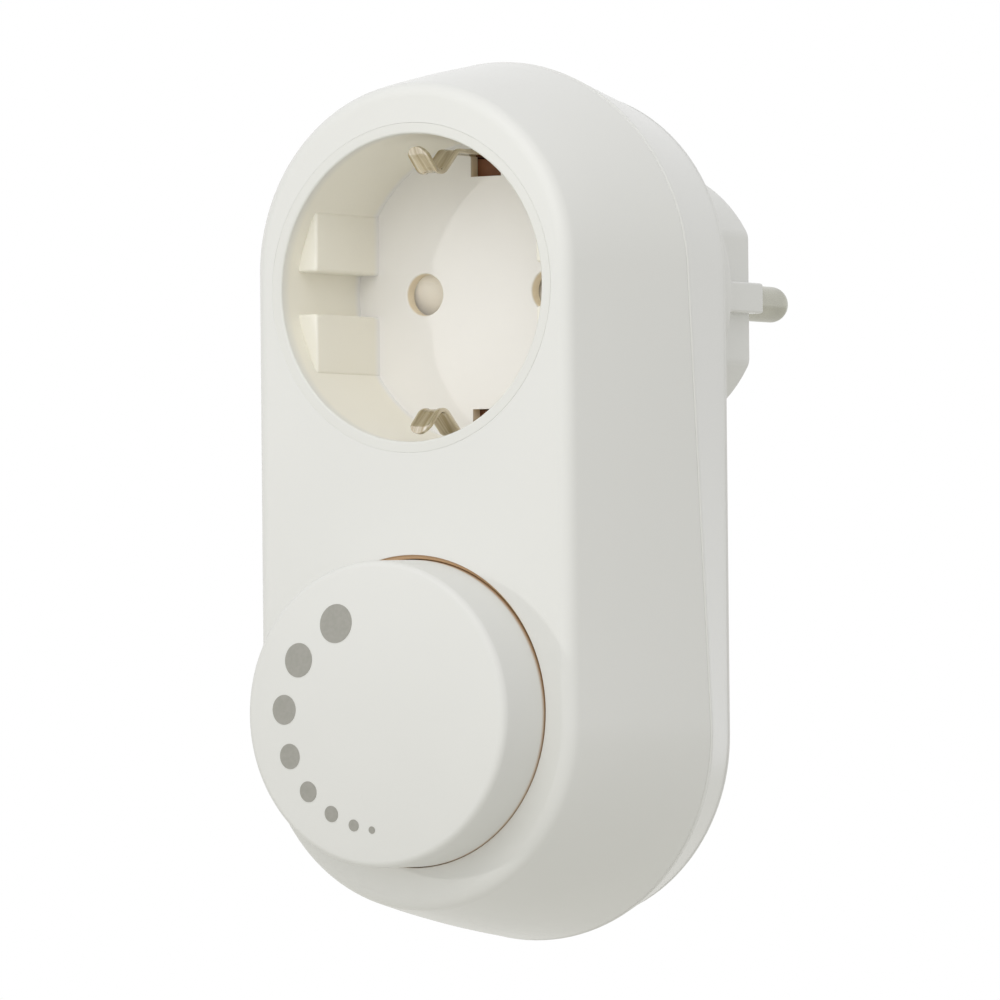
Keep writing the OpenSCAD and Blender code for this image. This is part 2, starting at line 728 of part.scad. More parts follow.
module carrier_screws() color("silver") placed() for (side = [-1, 1])
    screw(side * carrier_post_at, small_radius, small_head_diameter / 2, small_head_height,
          carrier_back - floor_back + carrier_screw_reach, carrier_back);

// A spring contact: a channel that grips a plug pin, with a tab for its wires
module spring_contact(x) translate([x, 0, 0]) {
    facing_back(contact_front) linear_extrude(height = contact_back - contact_front) difference() {
        translate([-contact_half - contact_metal, contact_base_z])
            square([2 * (contact_half + contact_metal), contact_rim_z - contact_base_z]);
        translate([-contact_half, contact_base_z + contact_metal])
            square([2 * contact_half, contact_rim_z - contact_base_z]);
    }
    block([-tab_half, contact_back - contact_metal, tab_foot],
          [tab_half, contact_back, contact_base_z + contact_metal]);
}
module line_contact() color("goldenrod") placed() spring_contact(insert_x);
module neutral_contact() color("goldenrod") placed() spring_contact(-insert_x);

// Outline of a bent strip of even thickness along a path
function unit(v) = v / norm(v);
function left_of(v) = [-v[1], v[0]];
function bend(path, i) = let (
        before = left_of(unit(path[max(i, 1)] - path[max(i, 1) - 1])),
        after = left_of(unit(path[min(i + 1, len(path) - 1)] - path[min(i, len(path) - 2)])),
        middle = unit(before + after)
    ) middle / (middle * before);
function strip_outline(path, thickness) = concat(
    [for (i = [0:len(path) - 1]) path[i] + bend(path, i) * thickness / 2],
    [for (i = [len(path) - 1:-1:0]) path[i] - bend(path, i) * thickness / 2]
);

// A bent strip in the plane of depth and height, centred on x = 0
module bent_strip(path, width) rotate([90, 0, 90]) translate([0, 0, -width / 2])
    linear_extrude(height = width) polygon(strip_outline(path, strip_thickness));

module socket_earth_clips() color("silver") placed() difference() {
    half = [clip_tip, clip_bend, clip_foot, [clip_bar_depth, clip_outer]];
    bent_strip(concat(half, [for (i = [3:-1:0]) [half[i][0], -half[i][1]]]), clip_width);
    bar([0, 0], rivet_radius + screw_clearance, carrier_back - 1, body_depth);
}

module plug_earth_strip() color("silver") placed() difference() {
    rise = body_depth + plug_window_start + 1.5;
    half = [
        [plug_depth - plug_window_end - 0.8, plug_strip_outer - 1.2],
        [plug_depth - plug_window_end - 2, plug_strip_outer],
        [rise + 2.5, plug_strip_outer], [rise, plug_strip_inner], [plug_bar_depth, plug_strip_inner]
    ];
    bent_strip(concat(half, [for (i = [4:-1:0]) [half[i][0], -half[i][1]]]), plug_strip_width);
    bar([0, 0], rivet_radius + screw_clearance, carrier_back - 1, body_depth);
}

module earth_rivet() color("silver") placed() {
    plug_bar_back = plug_bar_depth + strip_thickness / 2;
    bar([0, 0], rivet_radius, carrier_back, plug_bar_back);
    bar([0, 0], rivet_head_radius, plug_bar_back, plug_bar_back + rivet_head);
}

module plug_pin(x) {
    bar([x, 0], pin_neck_diameter / 2, pin_flange_front, plug_depth + pin_neck_reach + overlap);
    bar([x, 0], pin_radius, plug_depth + pin_neck_reach, plug_depth + pin_length - pin_radius);
    translate([x, plug_depth + pin_length - pin_radius, 0]) sphere(r = pin_radius);
    bar([x, 0], pin_flange_diameter / 2, pin_flange_front, pin_flange_front + pin_flange);
    bar([x, 0], pin_tail_diameter / 2, pin_tail_end, pin_flange_front + overlap);
}
module line_pin() color("silver") placed() plug_pin(insert_x);
module neutral_pin() color("silver") placed() plug_pin(-insert_x);

module pin_plate() color("saddlebrown") placed() difference() {
    facing_back(pin_plate_front) linear_extrude(height = pin_plate_thickness) intersection() {
        nose_outline(nose_bore - pin_plate_clearance, nose_inner_half - pin_plate_clearance);
        square([4 * nose_radius, 2 * pin_plate_half_height], center = true);
    }
    for (side = [-1, 1])
        bar([side * insert_x, 0], pin_tail_diameter / 2 + pin_hole_clearance, body_depth, plug_depth);
}

// Round bar with a flat on its right, as on a control shaft
module flatted_bar(radius, flat, from, to) difference() {
    bar([0, knob_z], radius, from, to);
    block([radius - flat, from - 1, knob_z - radius - 1], [radius + 1, to + 1, knob_z + radius + 1]);
}

// A point of the knob's domed face, counted from its middle and lifted off it
function dome_point(i, lift) = let (r = dome_reach * i / dome_steps)
    [r, -knob_rise - lift - (dome_reach ^ 2 - r ^ 2) / (2 * knob_dome)];

module knob() color("white") placed() difference() {
    union() {
        translate([0, 0, knob_z]) rotate([-90, 0, 0]) rotate_extrude() polygon(concat(
            [for (i = [0:dome_steps - 1]) dome_point(i, 0)],
            arc([dome_reach, -knob_rise + knob_edge], knob_edge, -90, 0, 6),
            [
                [knob_radius, knob_foot], [knob_radius - knob_wall, knob_foot],
                [knob_radius - knob_wall, -knob_rise + knob_wall], [0, -knob_rise + knob_wall]
            ]
        ));
        bar([0, knob_z], hub_diameter / 2, -knob_rise + knob_wall / 2, bush_front - hub_gap);
    }
    flatted_bar(shaft_radius + hub_clearance, shaft_flat, shaft_end - shaft_end_gap, well_depth);
}

// Radius, angle and place of each dot, counted from the smallest
function dot_radius(k) = dot_smallest + k * dot_growth;
function dot_angle(k) = dot_first_angle - k * dot_first_step - dot_step_growth * k * (k - 1) / 2;
function dot_place(k) = [0, knob_z] + (dot_circle - dot_radius(k)) * [cos(dot_angle(k)), sin(dot_angle(k))];

module level_dots() color("darkgray") placed() intersection() {
    translate([0, 0, knob_z]) rotate([-90, 0, 0]) rotate_extrude() polygon(concat(
        [for (i = [0:dome_steps]) dome_point(i, dot_film)], [for (i = [dome_steps:-1:0]) dome_point(i, 0)]
    ));
    for (k = [0:dot_count - 1]) bar(dot_place(k), dot_radius(k), -2 * knob_rise, 0);
}

module control_shaft() color("silver") placed() {
    flatted_bar(shaft_radius, shaft_flat, shaft_end, bush_front - hub_gap);
    bar([0, knob_z], shaft_radius, bush_front - hub_gap, wiper_front);
}

// A sector of a ring about the knob axis, centred on an angle
module ring_sector(inner, outer, angle, width, from, to) translate([0, from, knob_z]) rotate([-90, 0, 0])
    mirror([0, 1, 0]) rotate([0, 0, angle - width / 2]) rotate_extrude(angle = width)
        translate([inner, 0]) square([outer - inner, to - from]);

module control_wiper() color("tan") placed() {
    bar([0, knob_z], wiper_radius, wiper_front, wiper_front + wiper_thickness);
    ring_sector(wiper_radius - overlap, cavity_radius - wiper_gap, lug_angle, lug_width,
                wiper_front, wiper_front + wiper_thickness);
}

module control_housing() color("gray") placed() {
    difference() {
        union() {
            bar([0, knob_z], control_diameter / 2, control_front, control_back);
            bar([0, knob_z], bush_diameter / 2, bush_front, control_front + overlap);
        }
        bar([0, knob_z], cavity_radius, cavity_front, control_back + 1);
        bar([0, knob_z], shaft_radius + shaft_running, bush_front - 1, cavity_front + 1);
    }
    ring_sector(wiper_radius + wiper_gap, cavity_radius + control_wall / 2, stop_angle, stop_width,
                cavity_front - overlap, wiper_front + wiper_thickness);
}

module control_base_plate() color("peru") placed() {
    bar([0, knob_z], control_diameter / 2, control_back, board_depth);
    bar([0, knob_z], cavity_radius - wiper_gap, wiper_front + wiper_thickness + wiper_gap, control_back);
}

module circuit_board() color("darkgreen") placed() difference() {
    block([-board_width / 2, board_depth, board_bottom], [board_width / 2, board_back, board_top]);
    for (at = board_screw_places)
        bar(at, small_radius + screw_pass_clearance, board_depth - 1, board_back + 1);
}

module board_screws() color("silver") placed() for (at = board_screw_places)
    screw(at, small_radius, small_head_diameter / 2, small_head_height,
          board_screw_length + board_thickness - 1, board_back);

module heat_sink() color("lightgray") placed() difference() {
    block([sink_x, board_back, sink_z],
          [sink_x + sink_thickness, board_back + sink_height, sink_z + sink_length]);
    translate([0, sink_screw[0], sink_screw[1]]) rotate([0, 90, 0])
        cylinder(r = small_radius + screw_clearance, h = far);
}

module power_transistor() color("dimgray") placed() difference() {
    union() {
        translate([0, 0, sink_screw[1]])
            block([sink_x - transistor_thickness, board_back + transistor_lift, -transistor_width / 2],
                  [sink_x, transistor_back, transistor_width / 2]);
        for (leg = [-1:1])
            translate([sink_x - transistor_thickness / 2, board_back, sink_screw[1] + leg * leg_pitch])
                block([-leg_half, 0, -leg_half], [leg_half, transistor_lift + overlap, leg_half]);
    }
    translate([0, sink_screw[0], sink_screw[1]]) rotate([0, 90, 0])
        cylinder(r = small_radius + screw_clearance, h = far);
}

module heat_sink_screw() color("silver") placed()
    translate([sink_x, sink_screw[0], sink_screw[1]]) rotate([0, -90, 0]) {
        translate([0, 0, -sink_thickness])
            cylinder(r = small_radius, h = sink_thickness + transistor_thickness);
        translate([0, 0, transistor_thickness]) cylinder(r = small_head_diameter / 2, h = small_head_height);
    }

module film_capacitor() color("firebrick") placed()
    block([film_at[0], board_back, film_at[1]],
          [film_at[0] + film_width, board_back + film_height, film_at[1] + film_thickness]);

module electrolytic_capacitor() color("navy") placed()
    bar(can_at, can_diameter / 2, board_back, board_back + can_length);

module choke_core() color("dimgray") placed() {
    bar(choke_at, choke_diameter / 2, board_back, board_back + choke_flange);
    bar(choke_at, choke_core_radius, board_back, board_back + choke_height);
    bar(choke_at, choke_diameter / 2, board_back + choke_height - choke_flange, board_back + choke_height);
}

module choke_winding() color("sienna") placed() difference() {
    bar(choke_at, choke_diameter / 2 - choke_wind_inset, board_back + choke_flange,
        board_back + choke_height - choke_flange);
    bar(choke_at, choke_core_radius + choke_wind_clearance, board_depth, body_depth);
}

// A round bar along X on the fuse axis
module fuse_bar(radius, from, to) translate([from, board_back + fuse_lift, fuse_z]) rotate([0, 90, 0])
    cylinder(r = radius, h = to - from);

module fuse() color("lightblue") placed() fuse_bar(fuse_diameter / 2, -fuse_length / 2, fuse_length / 2);

module fuse_clips() color("silver") placed() for (side = [-1, 1]) {
    near = side > 0 ? fuse_length / 2 - fuse_clip_length : -fuse_length / 2;
    difference() {
        union() {
            fuse_bar(fuse_diameter / 2 + fuse_clip_wall, near, near + fuse_clip_length);
            block([near + overlap, board_back, fuse_z - fuse_diameter / 4],
                  [near + fuse_clip_length - overlap, board_back + fuse_lift, fuse_z + fuse_diameter / 4]);
        }
        fuse_bar(fuse_diameter / 2 + fuse_clip_grip, -fuse_length, fuse_length);
    }
}

module control_chip() color("black") placed()
    block([chip_at[0], board_back, chip_at[1]],
          [chip_at[0] + chip_length, board_back + chip_height, chip_at[1] + chip_width]);

module resistors() color("burlywood") placed()
    translate([resistor_right, board_back + resistor_radius, resistor_z - resistor_length / 2])
        for (i = [0:resistor_count - 1])
            translate([i * resistor_spacing, 0, 0]) cylinder(r = resistor_radius, h = resistor_length);

module line_wire() color("saddlebrown") placed() swept_tube(line_route, wire_diameter / 2, 8);
module neutral_wire() color("royalblue") placed() swept_tube(neutral_route, wire_diameter / 2, 8);
module neutral_tap_wire() color("royalblue") placed() swept_tube(tap_route, wire_diameter / 2, 8);
module load_wire() color("black") placed() swept_tube(load_route, wire_diameter / 2, 8);

front_cover();
rear_cover();
cover_screws();
socket_insert();
shutter();
shutter_spring();
contact_carrier();
carrier_screws();
line_contact();
neutral_contact();
socket_earth_clips();
plug_earth_strip();
earth_rivet();
line_pin();
neutral_pin();
pin_plate();
knob();
level_dots();
control_shaft();
control_wiper();
control_housing();
control_base_plate();
circuit_board();
board_screws();
power_transistor();
heat_sink();
heat_sink_screw();
film_capacitor();
electrolytic_capacitor();
choke_core();
choke_winding();
fuse();
fuse_clips();
control_chip();
resistors();
line_wire();
neutral_wire();
neutral_tap_wire();
load_wire();
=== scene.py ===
import json
import math

import bmesh
import bpy
from mathutils import Matrix, Vector


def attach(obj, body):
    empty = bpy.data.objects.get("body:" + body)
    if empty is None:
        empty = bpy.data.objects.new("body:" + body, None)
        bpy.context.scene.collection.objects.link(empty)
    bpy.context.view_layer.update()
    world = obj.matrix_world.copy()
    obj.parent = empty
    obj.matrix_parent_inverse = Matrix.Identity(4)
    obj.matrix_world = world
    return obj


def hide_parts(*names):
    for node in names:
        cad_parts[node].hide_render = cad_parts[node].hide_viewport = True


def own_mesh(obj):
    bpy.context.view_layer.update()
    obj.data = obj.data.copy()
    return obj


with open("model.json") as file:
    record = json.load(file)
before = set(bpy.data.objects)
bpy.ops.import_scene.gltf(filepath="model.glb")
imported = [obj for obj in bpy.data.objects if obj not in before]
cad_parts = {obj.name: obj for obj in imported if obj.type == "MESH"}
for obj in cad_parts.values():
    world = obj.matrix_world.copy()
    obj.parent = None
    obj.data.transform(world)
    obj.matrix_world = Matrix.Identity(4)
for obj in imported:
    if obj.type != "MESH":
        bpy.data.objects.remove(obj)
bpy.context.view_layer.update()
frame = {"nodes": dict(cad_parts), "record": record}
mm = 0.001
seatDepth = 58.3  # the front face lies this far ahead of the frame's origin
print("frame loaded with", len(frame["nodes"]), "nodes")


def levelY(depth):  # the frame's Y in metres, from millimetres behind the front face
    return (depth - seatDepth) * mm


def spot(x, depth, z):  # a point from millimetres, the depth counted back from the front face
    return Vector((x * mm, levelY(depth), z * mm))


def addRing(bm, points):
    return [bm.verts.new(spot(*p)) for p in points]


def joinRings(bm, rings, loop=False, leaveOut=()):  # quads between neighbouring rings
    pairs = list(zip(rings, rings[1:])) + ([(rings[-1], rings[0])] if loop else [])
    for row, (a, b) in enumerate(pairs):
        for i in range(len(a)):
            if (row, i) not in leaveOut:
                j = (i + 1) % len(a)
                bm.faces.new((a[i], a[j], b[j], b[i]))


def fillFlat(bm, *loops):  # a flat face inside the first loop and outside the others
    edges = []
    for loop in loops:
        for a, b in zip(loop, loop[1:] + loop[:1]):
            edges.append(bm.edges.get((a, b)) or bm.edges.new((a, b)))
    bmesh.ops.triangle_fill(bm, edges=edges, use_beauty=True)


def closeEnds(bm, rings):  # flat faces over the first and the last ring
    fillFlat(bm, rings[0])
    fillFlat(bm, rings[-1])


def loft(bm, outlines):  # a solid through a row of outlines
    rings = [addRing(bm, points) for points in outlines]
    joinRings(bm, rings)
    closeEnds(bm, rings)


def soften(points, radii, steps=5, closed=False):  # rounds the corners of a path in a plane
    out = []
    for i, corner in enumerate(points):
        p = Vector(corner)
        if radii[i] == 0 or (not closed and i in (0, len(points) - 1)):
            out.append(p)
            continue
        a = (Vector(points[i - 1]) - p).normalized()
        b = (Vector(points[(i + 1) % len(points)]) - p).normalized()
        half = a.angle(b) / 2
        centre = p + (a + b).normalized() * radii[i] / math.sin(half)
        start = p + a * radii[i] / math.tan(half) - centre
        turn = (math.pi - 2 * half) * (1 if a.x * b.y - a.y * b.x < 0 else -1)
        for k in range(steps + 1):
            c, s = math.cos(turn * k / steps), math.sin(turn * k / steps)
            out.append(centre + Vector((start.x * c - start.y * s, start.x * s + start.y * c)))
    return out


def roundRing(radius, depth, x=0.0, z=0.0, count=128):
    angles = [2 * math.pi * i / count for i in range(count)]
    return [(x + radius * math.cos(a), depth, z + radius * math.sin(a)) for a in angles]


def turned(bm, profile, x=0.0, z=0.0, count=128, loop=False):  # rings of a turned form from (radius, depth)
    rings = [addRing(bm, roundRing(r, d, x, z, count)) for r, d in profile]
    joinRings(bm, rings, loop)
    return rings


def turnedSolid(bm, profile, x=0.0, z=0.0, count=48):  # the same with flat ends
    closeEnds(bm, turned(bm, profile, x, z, count))


def drilled(bm, radius, start, end, rim, x, z=0.0, count=48):  # the wall of a hole with a rounded mouth
    profile = soften([(radius + 1, start), (radius, start), (radius, end)], [0, rim, 0])
    return turned(bm, profile[1:], x, z, count)


def inset(points, amount):  # draws a closed outline in, its points running anticlockwise
    out = []
    for i, p in enumerate(points):
        a = (p - points[i - 1]).normalized()
        b = (points[(i + 1) % len(points)] - p).normalized()
        n = Vector((-a.y - b.y, a.x + b.x)).normalized()
        out.append(p + n * amount / max(0.3, n.dot(Vector((-a.y, a.x)))))  # sharp corners reach no further
    return out


def flatRing(points, depth):
    return [(p[0], depth, p[1]) for p in points]


def edgeRound(radius, steps=5):  # (drawn in, ahead of the end) along a rounded end edge
    angles = [math.pi / 2 * i / steps for i in range(steps + 1)]
    return [(radius * (1 - math.cos(a)), radius * (1 - math.sin(a))) for a in angles]


def roundedEnd(outline, depth, radius, way, steps=4):  # outlines up to a rounded end that looks back (-1) or ahead (1)
    return [flatRing(inset(outline, d), depth + way * b) for d, b in edgeRound(radius, steps)]


def between(a, b, share):  # a ring part of the way from one to another
    return [tuple(u + (v - u) * share for u, v in zip(p, q)) for p, q in zip(a, b)]


def fromNode(key):  # a working copy of a CAD node's mesh at its place
    node = frame["nodes"][key]
    bm = bmesh.new()
    bm.from_mesh(node.data)
    bm.transform(node.matrix_world)
    bmesh.ops.remove_doubles(bm, verts=bm.verts[:], dist=1e-6)
    return bm


def toMesh(name, bm):
    bmesh.ops.recalc_face_normals(bm, faces=bm.faces[:])
    mesh = bpy.data.meshes.new(name)
    bm.to_mesh(mesh)
    bm.free()
    return mesh


def addObject(name, data):
    thing = bpy.data.objects.new(name, data)
    bpy.context.scene.collection.objects.link(thing)
    return thing


def finishPiece(name, bm, body, slotName, *nodes, **looks):
    bmesh.ops.remove_doubles(bm, verts=bm.verts[:], dist=1e-7)
    return placePiece(name, toMesh(name, bm), body, slotName, *nodes, **looks)


def placePiece(name, mesh, body, slotName, *nodes, finish=None, sharpAngle=38):  # finish, if not the slot's own
    mesh.shade_smooth()
    mesh.set_sharp_from_angle(angle=math.radians(sharpAngle))
    mesh.materials.clear()
    mesh.materials.append(finishes[finish or slotName])
    piece = addObject(name, mesh)
    even = piece.modifiers.new("evenShading", "WEIGHTED_NORMAL")  # flats stay flat beside rounded edges
    even.keep_sharp = True
    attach(piece, body)
    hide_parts(*nodes)
    print("piece", name, len(mesh.polygons), "faces")
    return piece


def addNode(tree, kind, links=None, **settings):  # one node, its settings, and values or links for its sockets
    node = tree.nodes.new(kind)
    for key, value in settings.items():
        setattr(node, key, value)
    for socket, source in (links or {}).items():
        if isinstance(source, bpy.types.NodeSocket):
            tree.links.new(source, node.inputs[socket])
        else:
            node.inputs[socket].default_value = source
    return node


def mathNode(tree, operation, *values):
    return addNode(tree, "ShaderNodeMath", dict(enumerate(values)), operation=operation).outputs[0]


def vectorNode(tree, operation, *values):
    return addNode(tree, "ShaderNodeVectorMath", dict(enumerate(values)), operation=operation).outputs


def mapNode(tree, value, fromMin, fromMax, toMin=0.0, toMax=1.0):
    links = {"Value": value, "From Min": fromMin, "From Max": fromMax, "To Min": toMin, "To Max": toMax}
    return addNode(tree, "ShaderNodeMapRange", links).outputs["Result"]


def noiseNode(tree, place, size, detail):  # features of about this many millimetres
    links = {"Vector": place, "Scale": 1 / (size * mm), "Detail": detail}
    return addNode(tree, "ShaderNodeTexNoise", links).outputs["Fac"]


def rampNode(tree, share, stops):  # stops are (position, colour code)
    ramp = addNode(tree, "ShaderNodeValToRGB", {"Fac": share})
    points = ramp.color_ramp.elements
    while len(points) < len(stops):
        points.new(0.5)
    for point, (at, code) in zip(points, stops):
        point.position = at
        point.color = hexColour(code)
    return ramp.outputs["Color"]


def mixNode(tree, share, first, second, blend="MIX"):
    links = {0: share, 6: first, 7: second}
    return addNode(tree, "ShaderNodeMix", links, data_type="RGBA", blend_type=blend).outputs[2]


def seenNode(tree):  # 1 for rays from the camera, a reflection or glass
    rays = addNode(tree, "ShaderNodeLightPath").outputs
    seen = mathNode(tree, "MAXIMUM", rays["Is Camera Ray"], rays["Is Glossy Ray"])
    return mathNode(tree, "MAXIMUM", seen, rays["Is Transmission Ray"])


def openTree(name, inputs):  # a Geometry Nodes tree with these inputs
    tree = bpy.data.node_groups.new(name, "GeometryNodeTree")
    for key, kind in inputs.items():
        tree.interface.new_socket(key, in_out="INPUT", socket_type="NodeSocket" + kind)
    tree.interface.new_socket("Geometry", in_out="OUTPUT", socket_type="NodeSocketGeometry")
    return tree, addNode(tree, "NodeGroupInput").outputs


def closeTree(tree, geometry, material):  # the output, in one material
    links = {"Geometry": geometry, "Material": material}
    addNode(tree, "NodeGroupOutput", {"Geometry": addNode(tree, "GeometryNodeSetMaterial", links).outputs[0]})


def bakeNodes(name, base, tree, values):  # runs a Geometry Nodes tree and gives back a plain mesh
    carrier = addObject(name + "Carrier", base)
    run = carrier.modifiers.new("nodes", "NODES")
    run.node_group = tree
    sockets = {s.name: s.identifier for s in tree.interface.items_tree if s.in_out == "INPUT"}
    for key, value in values.items():
        run[sockets[key]] = value
    graph = bpy.context.evaluated_depsgraph_get()
    mesh = bpy.data.meshes.new_from_object(carrier.evaluated_get(graph), depsgraph=graph)
    carrier.modifiers.remove(run)
    bpy.data.objects.remove(carrier)
    mesh.name = name
    return mesh


def hexColour(code):  # sRGB hex to linear
    parts = [int(code[i:i + 2], 16) / 255 for i in (1, 3, 5)]
    return tuple(c / 12.92 if c <= 0.04045 else ((c + 0.055) / 1.055) ** 2.4 for c in parts) + (1.0,)


# Materials
tintSpan = (0.35, 0.65)  # the part of a noise's range over which the colour changes
roughSpan = (0.3, 0.7)  # the same for the roughness
depthSpan = 25  # millimetres behind the front face that the painted light and shade by depth cover
cloudDetail, grainDetail = 2.0, 3.0


def makeSurface(look):
    material = bpy.data.materials.new(look["name"])
    material.use_nodes = True
    tree = material.node_tree
    tree.nodes.clear()
    place = addNode(tree, "ShaderNodeTexCoord").outputs["Object"]
    stretch = addNode(tree, "ShaderNodeMapping", {"Vector": place, "Scale": look.get("stretch", (1, 1, 1))})
    cloud = noiseNode(tree, place, look["cloudSize"], cloudDetail)
    grain = noiseNode(tree, stretch.outputs["Vector"], look["grainSize"], grainDetail)
    colour = rampNode(tree, grain if look.get("streaked") else cloud, list(zip(tintSpan, look["colours"])))
    along = addNode(tree, "ShaderNodeSeparateXYZ", {"Vector": place}).outputs["Y"]
    if "paintedDepthLightShade" in look:  # painted light and shade by the depth behind the front face: deep walls lighter, holes and slots warm
        share = mapNode(tree, along, levelY(0), levelY(depthSpan))
        deep = rampNode(tree, share, [(depth / depthSpan, code) for depth, code in look["paintedDepthLightShade"]])
        colour = mixNode(tree, 1.0, colour, deep, "MULTIPLY")
    if "gap" in look:  # painted shade: the narrow gap round the knob is tinted brown, standing in for light bounced many times between cream walls
        gap = look["gap"]
        flat = vectorNode(tree, "MULTIPLY", place, (1, 0, 1))[0]
        away = vectorNode(tree, "DISTANCE", flat, (0, 0, gap["axisZ"] * mm))["Value"]
        near = mapNode(tree, away, *(r * mm for r in gap["reach"]), 1.0, 0.0)
        sunk = mapNode(tree, along, *(levelY(d) for d in gap["depth"]))
        above = mathNode(tree, "LESS_THAN", along, levelY(gap["end"]))
        share = mathNode(tree, "MULTIPLY", mathNode(tree, "MULTIPLY", near, sunk), above)
        colour = mixNode(tree, share, colour, hexColour(gap["colour"]))
    sockets = {"Base Color": colour, "Roughness": look["roughness"], **look["shader"]}
    if isinstance(look["roughness"], tuple):  # the roughness follows the grain
        sockets["Roughness"] = mapNode(tree, grain, *roughSpan, *look["roughness"])
    if "relief" in look:
        strength, height = look["relief"]
        links = {"Height": grain, "Strength": strength, "Distance": height * mm}
        sockets["Normal"] = addNode(tree, "ShaderNodeBump", links).outputs["Normal"]
    shader = addNode(tree, "ShaderNodeBsdfPrincipled", sockets)
    addNode(tree, "ShaderNodeOutputMaterial", {"Surface": shader.outputs["BSDF"]})
    return material


